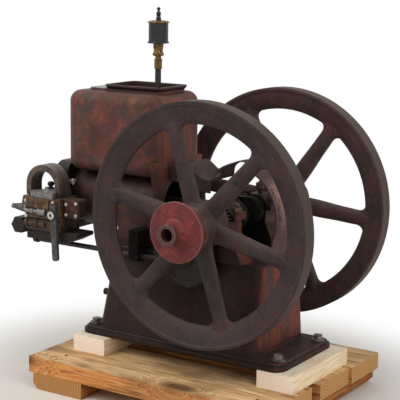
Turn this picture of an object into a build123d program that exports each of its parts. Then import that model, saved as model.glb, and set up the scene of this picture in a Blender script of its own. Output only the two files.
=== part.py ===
"""Hopper-cooled hit-and-miss engine on a timber stand. All lengths are millimetres.

Sizes are given from the crank centre: X along the cylinder with the head at -X, Y along the crankshaft
with the red hub at -Y, Z up. The frame's origin is on the ground under the middle of the whole object.
"""
import math
import os

from build123d import *

os.makedirs("parts", exist_ok=True)

# Flywheels
wheel_radius = 266.7
wheel_spacing = 367
rim_width = 36
rim_depth = 50
rim_lip_depth = 8
rim_groove_depth = 1.6
rim_inner_width = 9
rim_belly_shares = (0.5, 0.76)
hub_radius = 50
hub_length = 96
hub_chamfer = 5
spoke_count = 6
spoke_hub_width = 41
spoke_rim_width = 35
spoke_hub_depth = 24
spoke_rim_depth = 20
spoke_flare_length = 30
spoke_flare_shares = ((0, 1.3), (0.4, 1.07), (1, 1))
spoke_bite = 6
spoke_rim_bite = 18
near_wheel_turn = 47
far_wheel_turn = 55

# Crankshaft and connecting rod
journal_radius = 19
running_gap = 0.05
shaft_near_stub = 26.5
shaft_far_stub = 18.5
crank_throw = 42
crank_pin_radius = 19
web_space = 48
web_thick = 20
web_shaft_radius = 31
web_pin_radius = 29
rod_length = 190
rod_big_radius = 34
rod_big_width = 40
rod_bolt_boss_radius = 9
rod_bolt_spread = 56
rod_cap_depth = 22
rod_small_radius = 14
rod_small_width = 24
rod_small_hole_radius = 8
rod_shank_width = 16
rod_shank_big_height = 34
rod_shank_small_height = 21

# Red hub on the near end of the crankshaft
red_drum_radius = 54
red_drum_length = 30.5
red_disc_radius = 64.8
red_disc_thick = 6
red_face_rise = 5
red_boss_radius = 37
red_boss_length = 20
red_nose_radius = 22
red_nose_length = 10
red_bore_radius = 15

# Timing gears
gear_module = 2.5
crank_gear_teeth = 30
cam_gear_teeth = 60
gear_gap = 9
gear_width = 14
gear_pressure_angle = 20
gear_backlash_share = 0.08
gear_root_share = 1.25
cam_direction_angle = 228.2
cam_web_recess = 4
cam_web_inner_radius = 26
cam_web_outer_radius = 62
cam_hub_radius = 21
cam_hub_depth = 9
cam_stud_radius = 9
cam_stud_head_radius = 15
cam_stud_head_thick = 3
cam_boss_radius = 20

# Cylinder and hopper casting
hopper_reach = 170
hopper_length = 258
hopper_width = 194
hopper_height = 187
hopper_sink = 6
hopper_corner = 32
hopper_round = 26
hopper_wall = 10
hopper_floor_thick = 26
mouth_setback = 95
mouth_length = 142
mouth_width = 104
mouth_corner = 8
mouth_wall = 4
mouth_lip = 9
mouth_neck_height = 6
mouth_flare_height = 5
mouth_lip_height = 4
mouth_pad_length = 52
mouth_pad_width = 112
mouth_pad_height = 4
barrel_radius = 74
barrel_overhang = 2
bore_radius = 62
end_plate_thick = 18
end_plate_shoulder = 36
end_plate_waist = 24
end_plate_waist_margin = 4
foot_drop = 10
foot_length = 120
foot_width = 150

# Cylinder head, valve gear and piston
head_thick = 40
head_width = 168
head_height = 164
head_corner = 26
head_chamfer = 4
port_radius = 24
port_bore_radius = 17
port_length = 24
port_rise = 32
valve_radius = 14
valve_stem_radius = 5
valve_spring_length = 22
valve_stem_length = 33
valve_side = 22
rocker_thick = 11
rocker_half_height = 9
rocker_post_radius = 10
piston_length = 138
piston_gap = 0.3
piston_crown = 14
piston_wall = 12
piston_setback = 12

# Base casting
crank_height = 310
flange_reach = 176.5
flange_length = 539
flange_width = 253
flange_corner = 28
flange_thick = 18
flange_tier_height = 10
flange_tier_inset = 6
flange_round = 4
foot_hole_radius = 7
foot_hole_end_margin = 24
foot_hole_side_margin = 34
pedestal_reach = 108
pedestal_length = 430
pedestal_width = 220
pedestal_top_reach = 106
pedestal_top_length = 400
pedestal_top_width = 176
pedestal_corner = 20
pedestal_wall = 12
pedestal_roof = 14
pedestal_top_round = 6
seat_height = 11
arm_gap = 8
arm_width = 52
arm_top_width = 60
arm_waist_drop = 30
arm_foot_width = 124
drain_radius = 8
drain_length = 16
drain_rise = 70
drain_side = 60

# Bearing caps
cap_wall = 14
cap_ear_reach = 42
cap_ear_height = 16
cap_shoulder = 16
cap_inset = 3

# Crank guard
guard_thick = 4
guard_clearance = 36
guard_near_reach = 45
guard_far_reach = 50
guard_skirt_drop = 30
guard_arch_start_angle = 108
guard_arch_end_angle = -24
guard_seat_clearance = 0.5
guard_wave_shares = ((0.74, 0.9), (0.52, 0.69), (0.33, 0.65))
guard_seat_share = 0.82
guard_notch_shares = ((-0.54, -1.1), (-0.36, 0.66), (-0.2, 0.72), (0.56, -1.1))

# Drip oiler
oiler_setback = 62
oiler_pipe_radius = 7
oiler_pipe_rise = 38
oiler_fitting_radius = 9
oiler_fitting_height = 22
oiler_neck_radius = 13
oiler_neck_height = 10
oiler_body_radius = 12
oiler_body_height = 26
oiler_bowl_radius = 23
oiler_rim_radius = 25
oiler_rim_height = 4
oiler_bowl_height = 52
oiler_knob_radius = 6
oiler_knob_height = 30

# Magneto
back_plate_thick = 6
back_plate_length = 68
magneto_depth = 70
magneto_length = 106
magneto_height = 78
magneto_top_rise = 6
magneto_forward = 34
magneto_chamfer = 4
magneto_groove = 4
magneto_groove_drop = 52
side_block_length = 44
side_block_depth = 34
side_block_setback = 16
side_block_height = 44
magnet_count = 2
magnet_width = 19
magnet_gap = 2
magnet_bar = 14
magnet_span = 100
magnet_height = 74
magnet_front_inset = 18
magnet_setback = 10
magnet_clearance = 1
top_plate_length = 66
top_plate_thick = 14
top_plate_scoop_radius = 20
top_plate_scoop_inset = 12
terminal_radius = 8
terminal_height = 16
terminal_spread = 30
terminal_setback = 16
spring_length = 54.7
spring_radius = 12
spring_tip_radius = 6
spring_collar_length = 18
spring_cone_length = 28
spring_drop = 34
spring_setback = 22
roller_radius = 21
roller_width = 38
roller_drop = 74
roller_setback = 2
shelf_thick = 24
shelf_length = 150
shelf_chamfer = 16
shelf_front_inset = 8
lever_setback = 10
lever_drop = 34
lever_shaft_radius = 8
lever_shaft_length = 18
lever_gap = 5
lever_thick = 8
lever_boss_radius = 13
lever_rise = 26
lever_reach = 108
lever_width = 17
lever_foot_width = 15
lever_lean = 7
lever_corner = 5

# Push rod
push_rod_radius = 6
push_rod_clearance = 6
push_rod_cam_gap = 8
push_rod_side = 16
guide_length = 26
guide_setback = 32
guide_margin = 12
guide_rise = 34
guide_clearance = 3

# Timber stand
timber_thick = 38
block_width = 89
left_block_length = 300
right_block_length = 258
right_block_overhang = 33
near_board_width = 184
board_width = 140
near_board_gap = 28
far_board_gap = 4
deck_length = 638
deck_overhang = 48
deck_stagger = 6
bearer_width = 140
bearer_inset = 6
bearer_chamfer = 14

# Foot bolts
foot_bolt_radius = 11
foot_bolt_height = 9
foot_washer_radius = 15
foot_washer_thick = 3

# Places worked out from the sizes
hub_face_y = wheel_spacing / 2 + hub_length / 2
shaft_near_y = -hub_face_y - shaft_near_stub
shaft_far_y = hub_face_y + shaft_far_stub
red_disc_y = -hub_face_y - red_drum_length
red_boss_y = red_disc_y - red_disc_thick - red_face_rise
red_nose_y = red_boss_y - red_boss_length - red_nose_length
arm_inner_y = web_space / 2 + web_thick + arm_gap
arm_outer_y = arm_inner_y + arm_width
gear_far_y = -arm_outer_y - gear_gap
gear_near_y = gear_far_y - gear_width
cam_distance = gear_module * (crank_gear_teeth + cam_gear_teeth) / 2
cam_x = cam_distance * math.cos(math.radians(cam_direction_angle))
cam_z = cam_distance * math.sin(math.radians(cam_direction_angle))
hopper_left_x = -hopper_reach - hopper_length
hopper_middle_x = -hopper_reach - hopper_length / 2
hopper_bottom_z = barrel_radius - hopper_sink
hopper_top_z = hopper_bottom_z + hopper_height
hopper_floor_z = hopper_bottom_z + hopper_floor_thick
mouth_x = -hopper_reach - mouth_setback
mouth_top_z = hopper_top_z + mouth_neck_height + mouth_flare_height + mouth_lip_height
barrel_left_x = hopper_left_x - barrel_overhang
head_left_x = barrel_left_x - head_thick
seat_z = -barrel_radius - foot_drop
pedestal_top_z = seat_z - seat_height
pedestal_rise = pedestal_top_z - flange_thick + crank_height
pedestal_left_x = pedestal_reach - pedestal_length
flange_left_x = flange_reach - flange_length
magneto_far_y = -head_width / 2 - back_plate_thick
magneto_near_y = magneto_far_y - magneto_depth
magneto_right_x = barrel_left_x + magneto_forward
magneto_left_x = magneto_right_x - magneto_length
magneto_bottom_z = magneto_top_rise - magneto_height
shelf_bottom_z = magneto_bottom_z - shelf_thick
lever_x = magneto_right_x - lever_setback
lever_z = magneto_top_rise - lever_drop
push_rod_y = magneto_far_y - push_rod_side
push_rod_z = shelf_bottom_z - push_rod_clearance - push_rod_radius
rocker_x = head_left_x - valve_stem_length
deck_left_x = flange_left_x - deck_overhang
deck_right_x = deck_left_x + deck_length
deck_width = near_board_width + near_board_gap + board_width + far_board_gap + board_width
guard_radius = crank_throw + rod_big_radius + guard_clearance

# Place of the crank centre in the frame
crank_x = -(magneto_left_x - spring_length + wheel_radius) / 2
crank_y = -(red_nose_y + shaft_far_y) / 2
crank_z = crank_height + 3 * timber_thick


def side(y):
    """Upright plane along the cylinder, facing the near side."""
    return Plane(origin=(crank_x, crank_y + y, crank_z), x_dir=(1, 0, 0), z_dir=(0, -1, 0))


def level(z):
    """Flat plane facing up."""
    return Plane(origin=(crank_x, crank_y, crank_z + z))


def across(x):
    """Upright plane along the crankshaft, facing right."""
    return Plane(origin=(crank_x + x, crank_y, crank_z), x_dir=(0, 1, 0), z_dir=(1, 0, 0))


crank_axis = Axis((crank_x, crank_y, crank_z), (0, 1, 0))


def make_wheel(middle, turn):
    """One flywheel: lipped rim with a rounded belly, chamfered hub and oval spokes flared at both ends."""
    half = rim_width / 2
    inner = wheel_radius - rim_depth
    lip = wheel_radius - rim_lip_depth
    belly_radius = wheel_radius - rim_depth * rim_belly_shares[0]
    belly_half = half * rim_belly_shares[1]
    with BuildPart() as wheel:
        with BuildSketch(level(0)):
            with BuildLine():
                for way in (1, -1):
                    Line((wheel_radius, middle), (wheel_radius, middle + way * half))
                    Line((wheel_radius, middle + way * half), (lip, middle + way * half))
                    Line((lip, middle + way * half), (lip, middle + way * (half - rim_groove_depth)))
                    ThreePointArc(
                        (lip, middle + way * (half - rim_groove_depth)),
                        (belly_radius, middle + way * belly_half),
                        (inner, middle + way * rim_inner_width / 2),
                    )
                    Line((inner, middle + way * rim_inner_width / 2), (inner, middle))
            make_face()
        revolve(axis=crank_axis)
        with BuildSketch(side(middle + hub_length / 2)):
            Circle(hub_radius)
        extrude(amount=hub_length)
        hub_ends = wheel.edges().filter_by(GeomType.CIRCLE).filter_by(lambda edge: edge.radius == hub_radius)
        chamfer(hub_ends, length=hub_chamfer)
        stations = []
        for run, flare in spoke_flare_shares:
            reach = hub_radius - spoke_bite + run * spoke_flare_length
            stations.append((reach, spoke_hub_depth, spoke_hub_width * flare))
        mean_depth = (spoke_hub_depth + spoke_rim_depth) / 2
        mean_width = (spoke_hub_width + spoke_rim_width) / 2
        stations.append(((hub_radius + inner) / 2, mean_depth, mean_width))
        for run, flare in reversed(spoke_flare_shares):
            reach = inner + spoke_rim_bite - run * spoke_flare_length
            stations.append((reach, spoke_rim_depth, spoke_rim_width * flare))
        for spoke in range(spoke_count):
            angle = math.radians(turn + 360 * spoke / spoke_count)
            out = Vector(math.cos(angle), 0, math.sin(angle))
            centre = Vector(crank_x, crank_y + middle, crank_z)
            for reach, depth, width in stations:
                with BuildSketch(Plane(origin=centre + out * reach, x_dir=(0, 1, 0), z_dir=out)):
                    Ellipse(depth / 2, width / 2)
            loft()
        with BuildSketch(side(middle + hub_length / 2)):
            Circle(journal_radius)
        extrude(amount=hub_length, mode=Mode.SUBTRACT)
    return wheel.part


def gear_outline(teeth, turn, centre):
    """Points of an involute gear's outline, with one tooth centred on turn."""
    pitch = gear_module * teeth / 2
    pressure = math.radians(gear_pressure_angle)
    base = pitch * math.cos(pressure)
    root = pitch - gear_root_share * gear_module
    tip = pitch + gear_module
    half_at_pitch = math.pi / teeth / 2 * (1 - gear_backlash_share)

    def half_at(radius):
        unwound = math.acos(min(1, base / radius))
        return half_at_pitch + math.tan(pressure) - pressure - math.tan(unwound) + unwound

    flank = [(root, half_at(base))]
    if base > root:
        flank.append((base, half_at(base)))
    flank.extend([(pitch, half_at_pitch), (tip, half_at(tip))])
    points = []
    for tooth in range(teeth):
        middle = math.radians(turn) + 2 * math.pi * tooth / teeth
        turns = [(radius, middle - half) for radius, half in flank]
        turns += [(radius, middle + half) for radius, half in reversed(flank)]
        points += [(centre[0] + r * math.cos(a), centre[1] + r * math.sin(a)) for r, a in turns]
    return points


# Bearers on the ground, with their outer lower edges chamfered
with BuildPart() as bearers:
    bearer_top_z = -crank_height - 2 * timber_thick
    for outer_x, way in ((deck_left_x + bearer_inset, 1), (deck_right_x - bearer_inset, -1)):
        inner_x = outer_x + way * bearer_width
        with BuildSketch(side(deck_width / 2)):
            with BuildLine():
                Polyline(
                    (outer_x, bearer_top_z),
                    (inner_x, bearer_top_z),
                    (inner_x, bearer_top_z - timber_thick),
                    (outer_x + way * bearer_chamfer, bearer_top_z - timber_thick),
                    (outer_x, bearer_top_z - timber_thick + bearer_chamfer),
                    close=True,
                )
            make_face()
        extrude(amount=deck_width)
bearers.part.label = "bearers"
export_step(bearers.part, "parts/bearers.step")

# Three deck boards, the near one wider, with staggered ends
with BuildPart() as deck_boards:
    board_near_y = -deck_width / 2
    board_rows = ((near_board_width, near_board_gap), (board_width, far_board_gap), (board_width, 0))
    for row, (width, gap) in enumerate(board_rows):
        board_x = (deck_left_x + deck_right_x) / 2 + deck_stagger * (row - 1)
        with BuildSketch(level(-crank_height - 2 * timber_thick)):
            with Locations((board_x, board_near_y + width / 2)):
                Rectangle(deck_length, width)
        extrude(amount=timber_thick)
        board_near_y += width + gap
deck_boards.part.label = "deck_boards"
export_step(deck_boards.part, "parts/deck_boards.step")

# Packing blocks under both ends of the flange
with BuildPart() as packing_blocks:
    right_block_x = flange_reach + right_block_overhang - block_width / 2
    with BuildSketch(level(-crank_height - timber_thick)):
        with Locations((flange_left_x + block_width / 2, 0)):
            Rectangle(block_width, left_block_length)
        with Locations((right_block_x, 0)):
            Rectangle(block_width, right_block_length)
    extrude(amount=timber_thick)
packing_blocks.part.label = "packing_blocks"
export_step(packing_blocks.part, "parts/packing_blocks.step")

# Base casting: two-tier flange, hollow tapered pedestal with a drain stub, cylinder seat, bearing posts
flange_middle_x = flange_left_x + flange_length / 2
pedestal_x = pedestal_reach - pedestal_length / 2
pedestal_top_x = pedestal_top_reach - pedestal_top_length / 2
pedestal_lean = pedestal_top_reach - pedestal_top_length - pedestal_left_x
drain_lean = pedestal_lean * (drain_rise + drain_radius) / pedestal_rise
foot_hole_y = flange_width / 2 - foot_hole_side_margin
foot_hole_xs = (flange_left_x + foot_hole_end_margin, flange_reach - foot_hole_end_margin)
foot_points = [(x, way * foot_hole_y) for x in foot_hole_xs for way in (-1, 1)]
with BuildPart() as base_casting:
    for bottom_z, height, inset in (
        (-crank_height, flange_tier_height, 0),
        (flange_tier_height - crank_height, flange_thick - flange_tier_height, flange_tier_inset),
    ):
        with BuildSketch(level(bottom_z)):
            with Locations((flange_middle_x, 0)):
                RectangleRounded(flange_length - 2 * inset, flange_width - 2 * inset, flange_corner - inset)
        extrude(amount=height)
    fillet(base_casting.faces().sort_by(Axis.Z)[-1].edges(), radius=flange_round)
    with BuildSketch(level(flange_thick - crank_height)):
        with Locations((pedestal_x, 0)):
            RectangleRounded(pedestal_length, pedestal_width, pedestal_corner)
    with BuildSketch(level(pedestal_top_z)):
        with Locations((pedestal_top_x, 0)):
            RectangleRounded(pedestal_top_length, pedestal_top_width, pedestal_corner)
    loft()
    fillet(base_casting.faces().sort_by(Axis.Z)[-1].edges(), radius=pedestal_top_round)
    with BuildSketch(level(pedestal_top_z)):
        with Locations((-hopper_reach - foot_length / 2, 0)):
            Rectangle(foot_length, foot_width)
    extrude(amount=seat_height)
    for arm_far_y in (-arm_inner_y, arm_outer_y):
        with BuildSketch(side(arm_far_y)):
            with BuildLine():
                Polyline(
                    (-arm_foot_width / 2, pedestal_top_z),
                    (-arm_top_width / 2, -arm_waist_drop),
                    (-arm_top_width / 2, 0),
                    (arm_top_width / 2, 0),
                    (arm_top_width / 2, -arm_waist_drop),
                    (arm_foot_width / 2, pedestal_top_z),
                    close=True,
                )
            make_face()
        extrude(amount=arm_width)
    with BuildSketch(side(-arm_inner_y)):
        with Locations((cam_x, cam_z)):
            Circle(cam_boss_radius)
    extrude(amount=arm_width)
    with BuildSketch(across(pedestal_left_x - drain_length)):
        with Locations((-drain_side, flange_thick + drain_rise - crank_height)):
            Circle(drain_radius)
    extrude(amount=drain_length + drain_lean + pedestal_wall / 2)
    with BuildSketch(level(-crank_height)):
        with Locations((pedestal_x, 0)):
            RectangleRounded(pedestal_length - 2 * pedestal_wall, pedestal_width - 2 * pedestal_wall,
                             pedestal_corner - pedestal_wall)
    with BuildSketch(level(pedestal_top_z - pedestal_roof)):
        with Locations((pedestal_top_x, 0)):
            RectangleRounded(pedestal_top_length - 2 * pedestal_wall, pedestal_top_width - 2 * pedestal_wall,
                             pedestal_corner - pedestal_wall)
    loft(mode=Mode.SUBTRACT)
    with BuildSketch(side(arm_outer_y)):
        Circle(journal_radius + running_gap)
    extrude(amount=2 * arm_outer_y, mode=Mode.SUBTRACT)
    with BuildSketch(side(-arm_inner_y)):
        with Locations((cam_x, cam_z)):
            Circle(cam_stud_radius)
    extrude(amount=arm_width, mode=Mode.SUBTRACT)
    with BuildSketch(level(-crank_height)):
        with Locations(*foot_points):
            Circle(foot_hole_radius)
    extrude(amount=flange_thick, mode=Mode.SUBTRACT)
base_casting.part.label = "base_casting"
export_step(base_casting.part, "parts/base_casting.step")

# Foot bolts through the flange into the packing blocks' tops
with BuildPart() as foot_bolts:
    with BuildSketch(level(-crank_height)):
        with Locations(*foot_points):
            Circle(foot_hole_radius)
    extrude(amount=flange_thick)
    with BuildSketch(level(flange_thick - crank_height)):
        with Locations(*foot_points):
            Circle(foot_washer_radius)
    extrude(amount=foot_washer_thick)
    with BuildSketch(level(flange_thick + foot_washer_thick - crank_height)):
        with Locations(*foot_points):
            RegularPolygon(foot_bolt_radius, 6)
    extrude(amount=foot_bolt_height)
foot_bolts.part.label = "foot_bolts"
export_step(foot_bolts.part, "parts/foot_bolts.step")

# Bearing caps over the crankshaft
with BuildPart() as bearing_caps:
    cap_top = journal_radius + cap_wall
    for cap_far_y in (-arm_inner_y - cap_inset, arm_outer_y - cap_inset):
        with BuildSketch(side(cap_far_y)):
            with BuildLine():
                Polyline(
                    (-cap_ear_reach, 0),
                    (-cap_ear_reach, cap_ear_height),
                    (-cap_top, cap_ear_height),
                    (-cap_shoulder, cap_top),
                    (cap_shoulder, cap_top),
                    (cap_top, cap_ear_height),
                    (cap_ear_reach, cap_ear_height),
                    (cap_ear_reach, 0),
                    close=True,
                )
            make_face()
            Circle(journal_radius + running_gap, mode=Mode.SUBTRACT)
        extrude(amount=arm_width - 2 * cap_inset)
bearing_caps.part.label = "bearing_caps"
export_step(bearing_caps.part, "parts/bearing_caps.step")

# Stud that carries the cam gear
with BuildPart() as cam_stud:
    with BuildSketch(side(-arm_inner_y)):
        with Locations((cam_x, cam_z)):
            Circle(cam_stud_radius)
    extrude(amount=-gear_near_y + cam_stud_head_thick - arm_inner_y)
    with BuildSketch(side(gear_near_y - cam_stud_head_thick / 2)):
        with Locations((cam_x, cam_z)):
            Circle(cam_stud_head_radius)
    extrude(amount=cam_stud_head_thick)
cam_stud.part.label = "cam_stud"
export_step(cam_stud.part, "parts/cam_stud.step")

# Cylinder barrel and water hopper in one casting, open at the flared mouth and at the crank end
with BuildPart() as hopper_casting:
    with BuildSketch(level(hopper_bottom_z)):
        with Locations((hopper_middle_x, 0)):
            RectangleRounded(hopper_length, hopper_width, hopper_corner)
    extrude(amount=hopper_height)
    flat_faces = hopper_casting.faces().filter_by(Axis.Z)
    fillet(flat_faces.edges(), radius=hopper_round)
    pad_x = mouth_x - mouth_length / 2 - mouth_pad_length / 2
    with BuildSketch(level(hopper_top_z)):
        with Locations((pad_x, 0)):
            RectangleRounded(mouth_pad_length, mouth_pad_width, mouth_corner)
    extrude(amount=mouth_pad_height)
    neck_size = (mouth_length + 2 * mouth_wall, mouth_width + 2 * mouth_wall, mouth_corner + mouth_wall)
    lip_size = (mouth_length + 2 * mouth_lip, mouth_width + 2 * mouth_lip, mouth_corner + mouth_lip)
    with BuildSketch(level(hopper_top_z)):
        with Locations((mouth_x, 0)):
            RectangleRounded(*neck_size)
    extrude(amount=mouth_neck_height)
    with BuildSketch(level(hopper_top_z + mouth_neck_height)):
        with Locations((mouth_x, 0)):
            RectangleRounded(*neck_size)
    with BuildSketch(level(mouth_top_z - mouth_lip_height)):
        with Locations((mouth_x, 0)):
            RectangleRounded(*lip_size)
    loft()
    with BuildSketch(level(mouth_top_z - mouth_lip_height)):
        with Locations((mouth_x, 0)):
            RectangleRounded(*lip_size)
    extrude(amount=mouth_lip_height)
    with BuildSketch(across(barrel_left_x)):
        Circle(barrel_radius)
    extrude(amount=-hopper_reach - barrel_left_x)
    with BuildSketch(across(-hopper_reach - end_plate_thick)):
        with BuildLine():
            waist_half = barrel_radius + end_plate_waist_margin
            Polyline(
                (-hopper_width / 2, hopper_bottom_z + end_plate_shoulder),
                (hopper_width / 2, hopper_bottom_z + end_plate_shoulder),
                (waist_half, end_plate_waist),
                (foot_width / 2, seat_z),
                (-foot_width / 2, seat_z),
                (-waist_half, end_plate_waist),
                close=True,
            )
        make_face()
    extrude(amount=end_plate_thick)
    with BuildSketch(level(seat_z)):
        with Locations((-hopper_reach - foot_length / 2, 0)):
            Rectangle(foot_length, foot_width)
    extrude(amount=-seat_z)
    with BuildSketch(level(hopper_floor_z)):
        with Locations((hopper_middle_x, 0)):
            RectangleRounded(hopper_length - 2 * hopper_wall, hopper_width - 2 * hopper_wall,
                             hopper_corner - hopper_wall)
    extrude(amount=hopper_top_z - hopper_wall - hopper_floor_z, mode=Mode.SUBTRACT)
    with BuildSketch(level(hopper_floor_z)):
        with Locations((mouth_x, 0)):
            RectangleRounded(mouth_length, mouth_width, mouth_corner)
    extrude(amount=mouth_top_z - hopper_floor_z, mode=Mode.SUBTRACT)
    with BuildSketch(across(barrel_left_x)):
        Circle(bore_radius)
    extrude(amount=-hopper_reach - barrel_left_x, mode=Mode.SUBTRACT)
hopper_casting.part.label = "hopper_casting"
export_step(hopper_casting.part, "parts/hopper_casting.step")

# Cylinder head with its two ports on the far side
with BuildPart() as cylinder_head:
    with BuildSketch(across(head_left_x)):
        RectangleRounded(head_width, head_height, head_corner)
    extrude(amount=head_thick)
    chamfer(cylinder_head.faces().sort_by(Axis.X)[0].edges(), length=head_chamfer)
    port_points = [(head_left_x + head_thick / 2, way * port_rise) for way in (-1, 1)]
    with BuildSketch(side(head_width / 2 + port_length)):
        with Locations(*port_points):
            Circle(port_radius)
    extrude(amount=port_length)
    with BuildSketch(side(head_width / 2 + port_length)):
        with Locations(*port_points):
            Circle(port_bore_radius)
    extrude(amount=2 * port_length, mode=Mode.SUBTRACT)
cylinder_head.part.label = "cylinder_head"
export_step(cylinder_head.part, "parts/cylinder_head.step")

# Valve springs on their stems
with BuildPart() as valves:
    for radius, length in ((valve_radius, valve_spring_length), (valve_stem_radius, valve_stem_length)):
        with BuildSketch(across(head_left_x - length)):
            with Locations((valve_side, valve_side), (-valve_side, -valve_side)):
                Circle(radius)
        extrude(amount=length)
valves.part.label = "valves"
export_step(valves.part, "parts/valves.step")

# Rocker from the push rod to the near valve, on a post in the head
with BuildPart() as rocker_arm:
    rocker_span = math.hypot(push_rod_y + valve_side, push_rod_z + valve_side)
    rocker_angle = math.degrees(math.atan2(push_rod_z + valve_side, push_rod_y + valve_side))
    rocker_middle = ((push_rod_y - valve_side) / 2, (push_rod_z - valve_side) / 2)
    with BuildSketch(across(rocker_x - rocker_thick)):
        with Locations(rocker_middle):
            SlotCenterToCenter(rocker_span, 2 * rocker_half_height, rotation=rocker_angle)
            Circle(rocker_post_radius + rocker_half_height / 2)
    extrude(amount=rocker_thick)
    with BuildSketch(across(rocker_x)):
        with Locations(rocker_middle):
            Circle(rocker_post_radius)
    extrude(amount=head_left_x - rocker_x)
rocker_arm.part.label = "rocker_arm"
export_step(rocker_arm.part, "parts/rocker_arm.step")

# Piston at the head end of the bore
with BuildPart() as piston:
    piston_right_x = -crank_throw - rod_length - rod_small_radius - piston_setback
    with BuildSketch(across(piston_right_x - piston_length)):
        Circle(bore_radius - piston_gap)
    extrude(amount=piston_length)
    with BuildSketch(across(piston_right_x - piston_length + piston_crown)):
        Circle(bore_radius - piston_wall)
    extrude(amount=piston_length - piston_crown, mode=Mode.SUBTRACT)
piston.part.label = "piston"
export_step(piston.part, "parts/piston.step")

# Crank guard bent from one plate: a wave from the hopper, then an arch down to the pedestal
with BuildPart() as crank_guard:
    with BuildSketch(side(guard_far_reach)):
        with BuildLine():
            arch_sweep = guard_arch_start_angle - guard_arch_end_angle
            arch = CenterArc((0, 0), guard_radius, guard_arch_end_angle, arch_sweep)
            wave = [(-hopper_reach * run, guard_radius * rise) for run, rise in guard_wave_shares]
            Spline(
                (-hopper_reach + guard_seat_clearance, guard_radius * guard_seat_share), *wave, arch @ 1,
                tangents=((1, 0), -(arch % 1)),
            )
            Line(arch @ 0, ((arch @ 0).X, pedestal_top_z + guard_seat_clearance))
        trace(line_width=guard_thick)
    extrude(amount=guard_far_reach + guard_near_reach)
    with BuildSketch(side(guard_thick - guard_near_reach)):
        with BuildLine():
            skirt_top = Spline((guard_seat_clearance - hopper_reach, guard_radius * guard_seat_share), *wave,
                               tangents=((1, 0), (1, 0)))
            skirt_foot = skirt_top @ 1 - Vector(0, guard_skirt_drop)
            Line(skirt_top @ 1, skirt_foot)
            Spline(skirt_foot, skirt_top @ 0 - Vector(0, guard_skirt_drop), tangents=((-1, 0), (-1, 0)))
            Line(skirt_top @ 0 - Vector(0, guard_skirt_drop), skirt_top @ 0)
        make_face()
    extrude(amount=guard_thick)
    with BuildSketch(level(0)):
        with BuildLine():
            notch = [(guard_radius * run, guard_near_reach * across_share)
                     for run, across_share in guard_notch_shares]
            Polyline(*notch, close=True)
        make_face()
    extrude(amount=2 * guard_radius, mode=Mode.SUBTRACT)
crank_guard.part.label = "crank_guard"
export_step(crank_guard.part, "parts/crank_guard.step")

# Drip oiler standing in the hopper mouth
oiler_x = -hopper_reach - oiler_setback
oiler_pipe_top_z = mouth_top_z + oiler_pipe_rise
oiler_neck_z = oiler_pipe_top_z + oiler_fitting_height
oiler_body_z = oiler_neck_z + oiler_neck_height
oiler_bowl_z = oiler_body_z + oiler_body_height
oiler_top_z = oiler_bowl_z + oiler_bowl_height
with BuildPart() as oiler_pipe:
    with BuildSketch(level(hopper_floor_z)):
        with Locations((oiler_x, 0)):
            Circle(oiler_pipe_radius)
    extrude(amount=oiler_pipe_top_z - hopper_floor_z)
oiler_pipe.part.label = "oiler_pipe"
export_step(oiler_pipe.part, "parts/oiler_pipe.step")

with BuildPart() as oiler_neck:
    with BuildSketch(level(oiler_pipe_top_z)):
        with Locations((oiler_x, 0)):
            RegularPolygon(oiler_fitting_radius, 6)
    extrude(amount=oiler_fitting_height)
    with BuildSketch(level(oiler_neck_z)):
        with Locations((oiler_x, 0)):
            Circle(oiler_neck_radius)
    extrude(amount=oiler_neck_height)
    with BuildSketch(level(oiler_body_z)):
        with Locations((oiler_x, 0)):
            Circle(oiler_body_radius)
    extrude(amount=oiler_body_height)
oiler_neck.part.label = "oiler_neck"
export_step(oiler_neck.part, "parts/oiler_neck.step")

with BuildPart() as oiler_bowl:
    with BuildSketch(level(oiler_bowl_z)):
        with Locations((oiler_x, 0)):
            Circle(oiler_bowl_radius)
    extrude(amount=oiler_bowl_height)
    for rim_z in (oiler_bowl_z, oiler_top_z - oiler_rim_height):
        with BuildSketch(level(rim_z)):
            with Locations((oiler_x, 0)):
                Circle(oiler_rim_radius)
        extrude(amount=oiler_rim_height)
oiler_bowl.part.label = "oiler_bowl"
export_step(oiler_bowl.part, "parts/oiler_bowl.step")

with BuildPart() as oiler_knob:
    with BuildSketch(level(oiler_top_z)):
        with Locations((oiler_x, 0)):
            Circle(oiler_knob_radius)
    extrude(amount=oiler_knob_height)
oiler_knob.part.label = "oiler_knob"
export_step(oiler_knob.part, "parts/oiler_knob.step")

# Magneto body with a groove along its front, and the shaft end that carries the trip lever
magneto_x = magneto_right_x - magneto_length / 2
magneto_y = magneto_far_y - magneto_depth / 2
with BuildPart() as magneto_body:
    with BuildSketch(level(magneto_bottom_z)):
        with Locations((magneto_x, magneto_y)):
            Rectangle(magneto_length, magneto_depth)
    extrude(amount=magneto_height)
    chamfer(magneto_body.edges().filter_by(Axis.Z), length=magneto_chamfer)
    with BuildSketch(side(magneto_near_y)):
        with Locations((magneto_x, magneto_top_rise - magneto_groove_drop)):
            Rectangle(magneto_length, magneto_groove)
    extrude(amount=-magneto_groove, mode=Mode.SUBTRACT)
    with BuildSketch(side(magneto_near_y)):
        with Locations((lever_x, lever_z)):
            Circle(lever_shaft_radius)
    extrude(amount=lever_shaft_length)
magneto_body.part.label = "magneto_body"
export_step(magneto_body.part, "parts/magneto_body.step")

with BuildPart() as magneto_side_block:
    with BuildSketch(level(magneto_top_rise - side_block_height)):
        with Locations((magneto_right_x + side_block_length / 2,
                        magneto_near_y + side_block_setback + side_block_depth / 2)):
            Rectangle(side_block_length, side_block_depth)
    extrude(amount=side_block_height)
    chamfer(magneto_side_block.faces().sort_by(Axis.X)[-1].edges(), length=magneto_chamfer)
magneto_side_block.part.label = "magneto_side_block"
export_step(magneto_side_block.part, "parts/magneto_side_block.step")

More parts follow.
